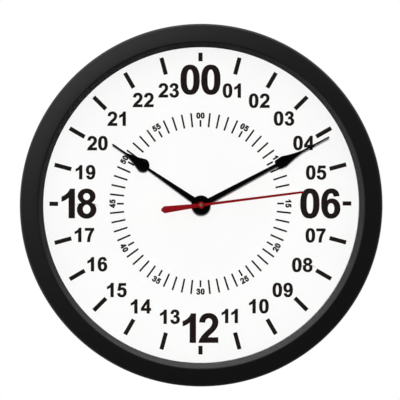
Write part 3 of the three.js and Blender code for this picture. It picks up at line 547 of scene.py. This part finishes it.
def bare_metal(name, colour, roughness, streak=(1, 1, 1), scale=120, variation=0.12):
    """Metal with streaks or spangle along one direction."""
    shader = Shader(name)
    mapping = shader.node("ShaderNodeMapping")
    mapping.inputs["Scale"].default_value = streak
    shader.link(shader.place, mapping.inputs["Vector"])
    shader.place = mapping.outputs["Vector"]
    streaks = shader.noise(scale, detail=4, roughness=0.6)
    shader.colour(streaks, varied(colour, variation, variation / 2))
    shader.roughness(streaks, roughness - 0.08, roughness + 0.08)
    shader.bump(streaks, strength=0.08, distance=0.04)
    shader.set(metallic=1.0)
    return shader.material


def dial_material():
    """Matte white sheet with a barely seen mottle."""
    shader = Shader("dial_white")
    dull, bright = (0.885, 0.885, 0.88), (0.905, 0.905, 0.90)
    shader.colour(shader.noise(14, detail=5), [(0.3, dull), (0.7, bright)])
    shader.roughness(shader.noise(200, detail=2), 0.55, 0.65)
    shader.bump(shader.noise(2500, detail=2), strength=0.05, distance=0.03)
    shader.set(specular=0.2)
    return shader.material


def ink_material():
    """Screen printed black, a little uneven in depth."""
    shader = Shader("dial_ink")
    full, thin = (0.0112, 0.0081, 0.0070), (0.0150, 0.0108, 0.0093)
    shader.colour(shader.noise(250, detail=4), [(0.3, full), (0.75, thin)])
    shader.roughness(shader.noise(600, detail=2), 0.5, 0.62)
    shader.bump(shader.noise(3000, detail=1), strength=0.05, distance=0.02)
    shader.set(specular=0.02)
    return shader.material


def cell_material():
    """Dry cell: dark wrap with a coppery band at its positive end, and bare steel ends."""
    shader = Shader("cell_wrap")
    across = shader.node("ShaderNodeSeparateXYZ")
    shader.link(shader.node("ShaderNodeTexCoord").outputs["Generated"], across.inputs["Vector"])
    along = across.outputs["X"]
    steel, copper, wrap = (0.6, 0.6, 0.62), (0.5, 0.2, 0.08), (0.02, 0.02, 0.022)
    near, band, far = CELL_END, 1 - CELL_BAND, 1 - CELL_END
    bands = shader.ramp(along, [(0.0, steel), (near, wrap), (band, copper), (far, steel)])
    bare = shader.ramp(along, [(0.0, (1, 1, 1)), (near, (0, 0, 0)), (far, (1, 1, 1))])
    for colours in (bands, bare):
        colours.node.color_ramp.interpolation = "CONSTANT"
    shader.link(bands, shader.surface.inputs["Base Color"])
    shader.link(bare, shader.surface.inputs["Metallic"])
    shader.roughness(shader.noise(200, detail=2), 0.3, 0.4)
    return shader.material


def glass_material():
    """Clear pane that lets light through to the dial and back without casting a shadow."""
    shader = Shader("clear_glass")
    tinted, pure = (0.985, 0.992, 0.99), (0.995, 0.998, 0.996)
    shader.colour(shader.noise(6, detail=2), [(0.2, tinted), (0.8, pure)])
    shader.roughness(shader.noise(20, detail=2), 0.0, 0.012)
    shader.set(transmission=1.0, ior=1.45)
    clear = shader.node("ShaderNodeBsdfTransparent")
    path = shader.node("ShaderNodeLightPath")
    surface = shader.surface.outputs["BSDF"]
    for kind in ("Is Diffuse Ray", "Is Shadow Ray"):
        mix = shader.node("ShaderNodeMixShader")
        shader.link(path.outputs[kind], mix.inputs["Fac"])
        shader.link(surface, mix.inputs[1])
        shader.link(clear.outputs["BSDF"], mix.inputs[2])
        surface = mix.outputs["Shader"]
    shader.link(surface, shader.output.inputs["Surface"])
    return shader.material


# Name, colour and roughness; then a plastic's grain and its depth, or a metal's streaks and their scale
FRAME_PLASTIC = moulded_plastic("frame_black", (0.003, 0.003, 0.0032), 0.36, 1400, 0.22, specular=0.25)
COVER_PLASTIC = moulded_plastic("cover_black", (0.014, 0.014, 0.0145), 0.52, 1100, 0.35)
MOVEMENT_PLASTIC = moulded_plastic("movement_black", (0.02, 0.02, 0.021), 0.55, 1700, 0.4)
WHEEL_PLASTIC = moulded_plastic("wheel_acetal", (0.78, 0.75, 0.67), 0.42, 900, 0.1)
RUBBER = moulded_plastic("washer_rubber", (0.02, 0.02, 0.02), 0.85, 700, 0.4)
RESIN = moulded_plastic("potting_resin", (0.012, 0.012, 0.013), 0.3, 500, 0.15)
LAMINATE = moulded_plastic("board_laminate", (0.03, 0.16, 0.06), 0.35, 1200, 0.25)
DIAL_WHITE = dial_material()
INK = ink_material()
GLASS = glass_material()
BLACK_PAINT = coated_metal("hand_black", (0.0012, 0.0012, 0.0012), 0.5, specular=0.03)
RED_PAINT = coated_metal("hand_red", (0.215, 0.005, 0.008), 0.42, specular=0.1)
BRASS = bare_metal("turned_brass", (0.5, 0.54, 0.24), 0.3, (1, 8, 1))
ZINC = bare_metal("zinc_plate", (0.6, 0.62, 0.64), 0.32, (1, 1, 1), 220)
NICKEL = bare_metal("nickel_strip", (0.66, 0.64, 0.6), 0.28, (1, 1, 12))
IRON = bare_metal("stamped_iron", (0.42, 0.42, 0.43), 0.42, (1, 1, 6))
MAGNET = bare_metal("magnet_nickel", (0.3, 0.3, 0.31), 0.35)
CELL_WRAP = cell_material()
COPPER = bare_metal("copper_wire", (0.6, 0.25, 0.12), 0.3, (30, 1, 1), 90)


def frame_profile():
    """Section of the frame, from the back rim up the outside, over the face and down the inside."""
    crest_radius = LIP_RADIUS + CREST_WIDTH
    face_edge = FRAME_RADIUS - RIM_ROUNDING
    lip_height = CREST - LIP_ROUNDING
    foot = lip_height - BEVEL_HEIGHT
    ledge_back = foot - LEDGE
    lens_edge = OPENING_RADIUS + LENS_OVERLAP + SEAT_GAP
    bore = OPENING_RADIUS + DIAL_OVERLAP + SEAT_GAP
    bore_end = DIAL_BACK - BORE_OVERRUN
    back_rim = FRAME_RADIUS - BACK_RIM_INSET

    def face_height(radius):
        share = (radius - crest_radius) / (face_edge - crest_radius)
        return CREST - FACE_DROP * (FACE_CONE * share + (1 - FACE_CONE) * share ** 2)

    slope = FACE_DROP * (2 - FACE_CONE) / (face_edge - crest_radius)
    edge_height = face_height(face_edge)
    outline = [
        (back_rim - SKIRT_WALL + BACK_RIM_THINNING, 0),
        (back_rim - BACK_RIM_CHAMFER, 0),
        (back_rim, BACK_RIM_CHAMFER),
        (FRAME_RADIUS, WIDEST_HEIGHT),
    ]
    outline += quadratic(outline[-1], (FRAME_RADIUS, edge_height - slope * RIM_ROUNDING),
                         (face_edge, edge_height), ROUNDING_STEPS)
    for step in range(1, FACE_STEPS):
        radius = face_edge + (crest_radius - face_edge) * step / FACE_STEPS
        outline.append((radius, face_height(radius)))
    run = LIP_ROUNDING * BEVEL_WIDTH / BEVEL_HEIGHT
    outline.append((crest_radius, CREST))
    outline += quadratic(outline[-1], (LIP_RADIUS + run, CREST), (LIP_RADIUS, lip_height), ROUNDING_STEPS)
    outline.append((OPENING_RADIUS + FOOT_CORNER, foot + FOOT_CORNER))
    outline += quadratic(outline[-1], (OPENING_RADIUS, foot), (OPENING_RADIUS, foot - FOOT_CORNER),
                         CORNER_STEPS)
    outline += [
        (OPENING_RADIUS, ledge_back),
        (lens_edge, ledge_back),
        (lens_edge, LENS_BACK),
        (bore, LENS_BACK),
        (bore, bore_end),
        (bore + BORE_WALL, bore_end),
        (bore + BORE_WALL, face_height(bore + BORE_WALL) - FACE_SKIN),
        (FRAME_RADIUS - SKIRT_WALL, WIDEST_HEIGHT),
    ]
    return outline


def make_frame():
    """Moulded frame."""
    shell = revolve("frame_shell", frame_profile(), sharp=FRAME_SHARP_ANGLE)
    return finish_piece(shell, FRAME_PLASTIC, "clock_case", "frame_plastic", "front_frame")


def make_dial_stack():
    """Lens, spacer ring and dial; gives back the ring."""
    disc = section(0, radius_of("lens"), LENS_BACK, LENS_FRONT)
    pane = revolve("lens_pane", filleted(disc, [0, LENS_FILLET, LENS_FILLET, 0]), sharp=FLAT_ANGLE)
    finish_piece(pane, GLASS, "clock_case", "lens_glass", "lens")
    band = section(OPENING_RADIUS + SPACER_INSET, radius_of("spacer_ring"), SPACER_BACK, SPACER_FRONT)
    ring = revolve("spacer_band", filleted(band, SPACER_FILLET))
    finish_piece(ring, FRAME_PLASTIC, "clock_case", "frame_plastic", "spacer_ring")
    rim, bore = circle(radius_of("dial"), RING_SEGMENTS), circle(DIAL_BORE_RADIUS, HUB_SEGMENTS)
    sheet = plate("dial_plate", [rim, bore], DIAL_BACK, DIAL_FRONT, DIAL_EDGE, sharp=FLAT_ANGLE)
    finish_piece(sheet, DIAL_WHITE, "clock_case", "dial_face", "dial")
    return ring


def contour(start, *steps):
    """Closed outline; two numbers are a straight line to a point, and six a curve with two control points."""
    points = [start]
    for step in steps:
        if len(step) == 2:
            points.append(step)
        else:
            points += cubic(points[-1], step[0:2], step[2:4], step[4:6], CURVE_STEPS)
    return points[:-1] if points[-1] == points[0] else points


def oval(centre, half_width, half_height, start=0, end=360, power=2.0, steps=40):
    """Part of an ellipse, or of a squarer oval where power is over 2, anticlockwise from the right."""
    points = []
    for step in range(steps + 1):
        angle = math.radians(start + (end - start) * step / steps)
        across, up = math.cos(angle), math.sin(angle)
        x = math.copysign(abs(across) ** (2 / power), across) * half_width
        y = math.copysign(abs(up) ** (2 / power), up) * half_height
        points.append((centre[0] + x, centre[1] + y))
    return points[:-1] if end - start == 360 else points


def figure_zero():
    return [oval((32, 50), 32, 51, power=2.45), oval((32, 50), 12, 35.5, power=2.45)]


def figure_one():
    return [contour((44, 0), (44, 100), (28, 100), (23.5, 87, 12, 77.5, 0, 73.5), (0, 57),
                    (9, 60, 18, 65, 24, 71), (24, 0))]


def figure_two():
    return [contour((0, 0), (66, 0), (66, 17.5), (30, 17.5), (33, 22.5, 41.5, 29.5, 47.5, 35),
                    (59, 46, 66, 57, 66, 70), (66, 88, 53, 101, 34, 101), (15.5, 101, 3.5, 90, 2.3, 70.5),
                    (20.8, 69.3), (21.5, 79, 26.5, 84.5, 34, 84.5), (42, 84.5, 47, 78.5, 47, 70),
                    (47, 61, 42, 54, 34.5, 47), (19, 32.5, 3, 18, 0, 0))]


def figure_three():
    return [contour((1.5, 73), (3.5, 91, 15, 101, 31, 101), (48, 101, 59.5, 90, 59.5, 75.5),
                    (59.5, 66, 54, 58.5, 45, 54.5), (56.5, 51.5, 63.5, 42, 63.5, 29.5),
                    (63.5, 12, 50, -1.5, 31, -1.5), (13.5, -1.5, 1.5, 8.5, 0, 26.5), (18.5, 28.7),
                    (19.5, 19.5, 24, 14.5, 31, 14.5), (38.5, 14.5, 44, 20.5, 44, 30.5),
                    (44, 40, 38.5, 46, 30.5, 46), (28, 46, 25.5, 45.5, 22.5, 44.5), (24.5, 60),
                    (34.5, 59.7, 40.5, 64.5, 40.5, 73), (40.5, 80.5, 36.5, 85.3, 30, 85.3),
                    (23.5, 85.3, 19.5, 80.5, 18.5, 70), (1.5, 73))]


def figure_four():
    return [contour((40, 0), (58, 0), (58, 19.5), (68, 19.5), (68, 36), (58, 36), (58, 100), (42, 100),
                    (0, 37), (0, 19.5), (40, 19.5)),
            contour((40, 36), (40, 71), (17.5, 36))]


def figure_five():
    return [contour((59.5, 98.5), (59.5, 81), (25.5, 81), (22.5, 64.5), (26, 66.8, 30, 68, 34.5, 68),
                    (51, 68, 64, 55, 64, 34), (64, 13.5, 50.5, -1.5, 31, -1.5),
                    (13.5, -1.5, 1.5, 8.5, 0, 25.5), (18.8, 27.5),
                    (19.6, 19, 24.5, 14, 31.3, 14), (39, 14, 44.5, 21, 44.5, 33.5),
                    (44.5, 45.5, 39, 52, 31, 52), (25.8, 52, 21.5, 49.8, 17.5, 45.2), (2.3, 47.3),
                    (12, 98.5))]


def figure_six():
    return [contour((61.5, 76), (59.5, 92, 49.5, 101, 34.5, 101), (13, 101, 0.5, 82, 0.5, 48.5),
                    (0.5, 14, 13.5, -1.5, 33, -1.5), (51.5, -1.5, 64.5, 12.5, 64.5, 33),
                    (64.5, 53, 52.5, 66.5, 37, 66.5), (30, 66.5, 24, 63.5, 19.5, 58),
                    (20, 77, 25.5, 85.5, 34.2, 85.5), (39.3, 85.5, 42.3, 81.5, 43, 74)),
            contour((21.5, 33.5), (21.5, 21.5, 26.5, 13.8, 33.3, 13.8), (40.5, 13.8, 45.5, 20.5, 45.5, 32.5),
                    (45.5, 45, 40.5, 51.7, 33.3, 51.7), (26.3, 51.7, 21.5, 45, 21.5, 33.5))]


def figure_seven():
    return [contour((0, 98.5), (0, 81), (42, 81), (26, 62, 16, 33, 15.5, 0), (34, 0),
                    (34, 30, 46, 64, 62, 84), (62, 98.5))]


def figure_eight():
    waist = 54
    upper = oval((32.5, 74.8), 29.5, 25.7, -waist, 180 + waist)
    lower = oval((32.5, 28.6), 32.5, 30, 120, 420)
    return [upper + lower, oval((32.5, 73.3), 12.2, 12.6), oval((32.5, 30.2), 13.7, 16.4)]


def figure_nine():
    return [[(65 - x, 99.5 - y) for x, y in outline] for outline in figure_six()]


# Figures, drawn 100 units high, and the free space at their sides
FIGURES = [figure_zero(), figure_one(), figure_two(), figure_three(), figure_four(),
           figure_five(), figure_six(), figure_seven(), figure_eight(), figure_nine()]
DRAWN_HEIGHT = 100
LEFT_BEARING = {1: 12, 3: 8}
RIGHT_BEARING = {1: 22.5}
PLAIN_BEARING = 7
PAIR_OF_ONES_KERN = -8.5


def figure_width(digit):
    """Width of a figure as drawn."""
    return max(x for x, y in FIGURES[digit][0])


def number_outlines(number, height, centre, tilt=0.0, tracking=0.0, stretch=1.0):
    """Outlines of a two-digit number whose printed shape is centred on a point of the dial."""
    digits = [number // 10, number % 10]
    gap = RIGHT_BEARING.get(digits[0], PLAIN_BEARING) + LEFT_BEARING.get(digits[1], PLAIN_BEARING) + tracking
    if digits == [1, 1]:
        gap += PAIR_OF_ONES_KERN
    starts = [0, figure_width(digits[0]) + gap]
    width = starts[1] + figure_width(digits[1])
    scale = height / DRAWN_HEIGHT
    cos, sin = math.cos(math.radians(tilt)), math.sin(math.radians(tilt))
    outlines = []
    for digit, start in zip(digits, starts):
        for outline in FIGURES[digit]:
            placed = []
            for x, y in outline:
                across = (x + start - width / 2) * scale * stretch
                up = (y - DRAWN_HEIGHT / 2) * scale
                placed.append((centre[0] + across * cos - up * sin, centre[1] + across * sin + up * cos))
            outlines.append(placed)
    return outlines


def dial_place(bearing, radius):
    """Point on the dial at a bearing in degrees clockwise from the top, about the print's centre."""
    angle = math.radians(bearing)
    return (PRINT_CENTRE[0] + radius * math.sin(angle), PRINT_CENTRE[1] + radius * math.cos(angle))


def bar(bearing, inner, outer, width):
    """Radial bar on the dial."""
    side = math.radians(bearing)
    across = (math.cos(side) * width / 2, -math.sin(side) * width / 2)
    near, far = dial_place(bearing, inner), dial_place(bearing, outer)
    return [(near[0] - across[0], near[1] - across[1]), (near[0] + across[0], near[1] + across[1]),
            (far[0] + across[0], far[1] + across[1]), (far[0] - across[0], far[1] - across[1])]


def hour_ticks():
    """Ticks outside the hour figures, shorter at the quarters."""
    ticks = []
    for hour in range(HOURS):
        inner = QUARTER_TICK_INNER if hour in QUARTER_FIGURE_RADII else HOUR_TICK_INNER
        ticks.append(bar(hour * HOUR_STEP, inner, HOUR_TICK_OUTER, HOUR_TICK_WIDTH))
    return ticks


def minute_ticks():
    """Ticks of the minute ring, shorter under its figures."""
    ticks = []
    for minute in range(MINUTES):
        outer = FIFTH_TICK_OUTER if minute % MINUTES_PER_FIGURE == 0 else MINUTE_TICK_OUTER
        ticks.append(bar(minute * MINUTE_STEP, MINUTE_TICK_INNER, outer, MINUTE_TICK_WIDTH))
    return ticks


def hour_figures():
    """Figures of the hours, large at the quarters and drawn in a little near the top and bottom."""
    outlines = []
    for hour in range(HOURS):
        bearing = hour * HOUR_STEP
        drawn_in = HOUR_FIGURE_DRAW_IN * math.cos(math.radians(bearing)) ** DRAW_IN_POWER
        radius = QUARTER_FIGURE_RADII.get(hour, HOUR_FIGURE_RADIUS - drawn_in)
        place = Vector(dial_place(bearing, radius)) + Vector(FIGURE_NUDGES.get(hour, (0, 0)))
        if hour in QUARTER_FIGURE_RADII:
            height, stretch = QUARTER_FIGURE_HEIGHT, QUARTER_FIGURE_STRETCH
            tracking = QUARTER_FIGURE_TRACKING[hour]
        else:
            height, stretch = HOUR_FIGURE_HEIGHT, HOUR_FIGURE_STRETCH
            tracking = HOUR_FIGURE_TRACKING
        outlines += number_outlines(hour, height, place, tracking=tracking, stretch=stretch)
    return outlines


def minute_figures():
    """Figures of the minute ring: tops outward above the middle and inward below it."""
    outlines = []
    for minute in range(0, MINUTES, MINUTES_PER_FIGURE):
        bearing = minute * MINUTE_STEP
        tilt = 180 - bearing if 90 < bearing < 270 else -bearing
        centre = dial_place(bearing, MINUTE_FIGURE_RADIUS)
        outlines += number_outlines(minute, MINUTE_FIGURE_HEIGHT, centre, tilt)
    return outlines


def make_print():
    """Four printed pieces that lie on the dial."""
    for name, outlines, spread in (("hour_ticks", hour_ticks(), INK_SPREAD),
                                   ("minute_ticks", minute_ticks(), SMALL_INK_SPREAD),
                                   ("hour_numerals", hour_figures(), INK_SPREAD),
                                   ("minute_numerals", minute_figures(), SMALL_INK_SPREAD)):
        piece = plate(name, outlines, DIAL_FRONT, DIAL_FRONT + INK_HEIGHT, spread=spread)
        finish_piece(piece, INK, "clock_case", "dial_print")


def mirrored(upper):
    """Closed outline of a hand along x from its upper edge."""
    return upper + [(x, -y) for x, y in reversed(upper)]


def tip(length):
    """Blunt end of the hour hand or the minute hand."""
    return [(length - TIP_HALF_WIDTH, TIP_HALF_WIDTH), (length, TIP_HALF_WIDTH / 2)]


def hour_outline():
    """Hour hand: stem, round bulb and needle."""
    neck = 180 - math.degrees(math.asin(HOUR_NECK_HALF_WIDTH / BULB_RADIUS))
    stem_end = BULB_DISTANCE - BULB_RADIUS - HOUR_NECK_LENGTH
    start = [(0, HOUR_STEM_HALF_WIDTH), (stem_end, HOUR_NECK_HALF_WIDTH)]
    bulb = arc((BULB_DISTANCE, 0), BULB_RADIUS, neck, BULB_TAPER_ANGLE, BULB_STEPS)
    needle = BULB_DISTANCE + BULB_TAPER
    run = (needle - bulb[-1][0]) / 2
    drop = run / math.tan(math.radians(BULB_TAPER_ANGLE))
    middle = (needle - run, bulb[-1][1] - drop)
    taper = quadratic(bulb[-1], middle, (needle, NEEDLE_HALF_WIDTH), TAPER_STEPS)
    return mirrored(start + bulb + taper + tip(HOUR_LENGTH))


def minute_outline():
    """Minute hand: stem, spade and needle."""
    shoulder = SPADE_START + SPADE_SHOULDER
    needle = SPADE_WIDEST + SPADE_TAPER
    path = [
        (0, MINUTE_STEM_HALF_WIDTH),
        (SPADE_START, MINUTE_NECK_HALF_WIDTH),
        (shoulder, SPADE_SHOULDER_HALF_WIDTH),
    ]
    path += quadratic(path[-1], ((shoulder + SPADE_WIDEST) / 2, SPADE_HALF_WIDTH),
                      (SPADE_WIDEST, SPADE_HALF_WIDTH), SHOULDER_STEPS)
    path += quadratic(path[-1], ((SPADE_WIDEST + needle) / 2, TAPER_PULL),
                      (needle, NEEDLE_HALF_WIDTH), TAPER_STEPS)
    return mirrored(path + tip(MINUTE_LENGTH))


def second_outline():
    """Second hand: tail, hub and blade."""
    return mirrored([
        (-SECOND_TAIL, TAIL_END_HALF_WIDTH),
        (TAIL_POINT - SECOND_TAIL, TAIL_HALF_WIDTH),
        (-SECOND_HUB_RADIUS, TAIL_NECK_HALF_WIDTH),
        (SECOND_HUB_RADIUS, BLADE_HALF_WIDTH),
        (SECOND_LENGTH - BLADE_TIP_HALF_WIDTH, BLADE_TIP_HALF_WIDTH),
        (SECOND_LENGTH, BLADE_TIP_HALF_WIDTH / 2),
    ])


def make_hands():
    """The three hands with their hubs; gives back the second hand."""
    for node, outline, angle in (("hour_hand", hour_outline(), HOUR_ANGLE),
                                 ("minute_hand", minute_outline(), MINUTE_ANGLE)):
        name = node + "_blade"
        front = heights(node)[1]
        back = front - BLADE_THICKNESS
        blade = plate(name, [outline], back, front, HAND_EDGE)
        hub = section(HAND_BORE_RADII[node], HUB_DISC_RADIUS, back, front)
        disc = revolve(name + "_disc", filleted(hub, HUB_DISC_FILLET), DISC_SEGMENTS)
        piece = join(name, [turn(blade, angle), disc])
        finish_piece(piece, BLACK_PAINT, node, "hand_paint", node)
    back, front = heights("second_hand")
    blade = plate("second_hand_blade", [second_outline()], back, back + BLADE_THICKNESS, HAND_EDGE)
    collar = section(HAND_BORE_RADII["second_hand"], SECOND_HUB_RADIUS, back, front)
    hub = revolve("second_hub", filleted(collar, SECOND_HUB_FILLET), HUB_SEGMENTS)
    second = join("second_hand_blade", [turn(blade, SECOND_ANGLE), hub])
    finish_piece(second, RED_PAINT, "second_hand", "second_hand_paint", "second_hand")
    pin = filleted(section(0, PIN_RADIUS, *heights("second_hand_tube")), [0, 0, PIN_FILLET, 0])
    tube = revolve("second_hand_pin", pin, PIN_SEGMENTS)
    finish_piece(tube, BRASS, "second_hand", "brass", "second_hand_tube")
    return second


# Materials of the nodes that are carried over as they are
COVER_SCREWS = [f"cover_screw_{number}" for number in range(1, 7)]
HANGER_PARTS = ["hanger_plate", "hanger_screw_1", "hanger_screw_2"]
NODE_FINISHES = {
    COVER_PLASTIC: ["rear_cover"],
    ZINC: [*HANGER_PARTS, "dial_washer", "quartz_crystal", *COVER_SCREWS],
    MOVEMENT_PLASTIC: ["movement_case", "movement_cover", "setting_knob"],
    WHEEL_PLASTIC: ["train_plate", "seconds_wheel", "centre_wheel", "minute_pinion", "hour_wheel",
                    "third_wheel", "intermediate_wheel", "rotor_pinion", "motion_wheel", "coil_bobbin"],
    BRASS: ["threaded_bush", "bush_nut"],
    RUBBER: ["soft_washer"],
    MAGNET: ["rotor_magnet"],
    IRON: ["stator", "coil_core"],
    COPPER: ["coil_winding"],
    LAMINATE: ["circuit_board"],
    RESIN: ["circuit_chip"],
    CELL_WRAP: ["battery_cell"],
    NICKEL: ["positive_contact", "negative_contact"],
}


def finish_nodes():
    """Each carried-over node gets its material."""
    for material, names in NODE_FINISHES.items():
        for name in names:
            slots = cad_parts[name].data.materials
            slots.clear()
            slots.append(material)


def make_world():
    """White for the camera, a soft studio for dull surfaces, and a darker one for glossy surfaces."""
    world = bpy.data.worlds.new("studio")
    bpy.context.scene.world = world
    world.use_nodes = True
    tree = world.node_tree
    tree.nodes.clear()
    direction = tree.nodes.new("ShaderNodeTexCoord").outputs["Generated"]
    path = tree.nodes.new("ShaderNodeLightPath").outputs

    def value(operation, *inputs):
        """Result of a sum on numbers or sockets."""
        made = tree.nodes.new("ShaderNodeMath")
        made.operation = operation
        for socket, source in zip(made.inputs, inputs):
            if isinstance(source, (int, float)):
                socket.default_value = source
            else:
                tree.links.new(source, socket)
        return made.outputs["Value"]

    def facing(towards):
        """How far the world's direction agrees with another one, from 0 to 1."""
        made = tree.nodes.new("ShaderNodeVectorMath")
        made.operation = "DOT_PRODUCT"
        tree.links.new(direction, made.inputs[0])
        made.inputs[1].default_value = Vector(towards).normalized()
        return value("MAXIMUM", made.outputs["Value"], 0.0)

    def lobe(towards, power, strength):
        return value("MULTIPLY", value("POWER", facing(towards), power), strength)

    def mix(low, high, share):
        rest = value("MULTIPLY", low, value("SUBTRACT", 1.0, share))
        return value("ADD", rest, value("MULTIPLY", high, share))

    def added(first, *others):
        total = first
        for other in others:
            total = value("ADD", total, other)
        return total

    above, left, right = (0, 0, 1), (-1, 0, 0), (1, 0, 0)
    front = facing((0, -1, 0))
    aside = value("SUBTRACT", 1.0, value("MULTIPLY", front, front))
    behind = value("MINIMUM", value("MULTIPLY", facing((0, 1, 0)), BACKDROP_EDGE), 1.0)
    soft = value("ADD", AMBIENT, lobe(above, 1, AMBIENT_ABOVE))
    plain = mix(soft, BACKDROP_STRENGTH, behind)
    sides = added(SIDE_BASE, lobe(above, SIDE_SPREAD, SIDE_TOP), lobe(left, SIDE_SPREAD, SIDE_LEFT),
                  lobe(right, SIDE_SPREAD, SIDE_RIGHT))
    gloss = added(FRONT_BASE, lobe(SOFTBOX, SOFTBOX_SPREAD, SOFTBOX_STRENGTH),
                  value("MULTIPLY", sides, value("POWER", aside, SIDE_FADE)))
    beyond = value("MAXIMUM", value("SUBTRACT", aside, CARD_SIZE), 0.0)
    card = value("MINIMUM", value("MULTIPLY", beyond, CARD_EDGE), 1.0)
    gloss = value("MULTIPLY", gloss, card)
    seen = value("MAXIMUM", path["Is Glossy Ray"], path["Is Transmission Ray"])
    white = value("MAXIMUM", path["Is Camera Ray"], value("MULTIPLY", seen, behind))
    background = tree.nodes.new("ShaderNodeBackground")
    background.inputs["Color"].default_value = (1, 1, 1, 1)
    tree.links.new(mix(mix(plain, gloss, seen), 1.0, white), background.inputs["Strength"])
    output = tree.nodes.new("ShaderNodeOutputWorld")
    tree.links.new(background.outputs["Background"], output.inputs["Surface"])


def make_lights(*unshaded):
    """One soft lamp above the camera's axis, from which the given pieces cast no shadow on the dial."""
    lamp = bpy.data.lights.new("key", "SUN")
    lamp.energy = KEY_STRENGTH
    lamp.angle = math.radians(KEY_ANGLE)
    holder = bpy.data.objects.new("key", lamp)
    holder.rotation_euler = Vector(KEY_TRAVEL).to_track_quat("-Z", "Y").to_euler()
    holder.visible_glossy = False
    holder.visible_transmission = False
    clear = bpy.data.collections.new("no_key_shadow")
    for piece in unshaded:
        clear.objects.link(piece)
    holder.light_linking.blocker_collection = clear
    for member in clear.collection_objects:
        member.light_linking.link_state = "EXCLUDE"
    bpy.context.scene.collection.objects.link(holder)


def make_floor():
    """Small pale floor well below the clock, out of the photograph's frame."""
    floor = revolve("floor", section(0, FLOOR_RADIUS, 0, FLOOR_THICKNESS), DISC_SEGMENTS)
    flat = Matrix.Rotation(math.pi / 2, 4, "X")
    floor.data.transform(Matrix.Translation((0, FLOOR_BACK, FRAME_LOW.z - FLOOR_DROP)) @ flat)
    shader = Shader("pale_floor")
    shader.colour(shader.noise(3, detail=3), [(0.3, (0.8, 0.8, 0.8)), (0.7, (0.82, 0.82, 0.82))])
    shader.set(roughness=0.8)
    floor.data.materials.append(shader.material)


def make_camera():
    """Long lens, a little left of and above the clock, framed on the frame's widest ring."""
    left, above = math.radians(CAMERA_LEFT), math.radians(CAMERA_ABOVE)
    away = Vector((-math.sin(left) * math.cos(above), -math.cos(left) * math.cos(above), math.sin(above)))
    right = Vector((0, 0, 1)).cross(away).normalized()
    up = away.cross(right)
    pixel = FRAME_RADIUS * MM / RING_RADIUS_PIXEL
    ring = point(0, 0, WIDEST_HEIGHT)
    aim = (ring - right * (RING_CENTRE_PIXEL[0] - IMAGE_SIZE / 2) * pixel
           + up * (RING_CENTRE_PIXEL[1] - IMAGE_SIZE / 2) * pixel)
    lens = bpy.data.cameras.new("camera")
    lens.sensor_width = SENSOR_WIDTH
    lens.lens = SENSOR_WIDTH * CAMERA_DISTANCE / (IMAGE_SIZE * pixel)
    lens.clip_end = CAMERA_REACH
    camera = bpy.data.objects.new("camera", lens)
    camera.location = aim + away * CAMERA_DISTANCE
    camera.rotation_euler = (-away).to_track_quat("-Z", "Y").to_euler()
    bpy.context.scene.collection.objects.link(camera)
    bpy.context.scene.camera = camera


make_camera()
make_world()
make_floor()
make_lights(make_frame(), make_dial_stack(), make_hands())
make_print()
finish_nodes()
bpy.context.scene.view_settings.view_transform = "Standard"
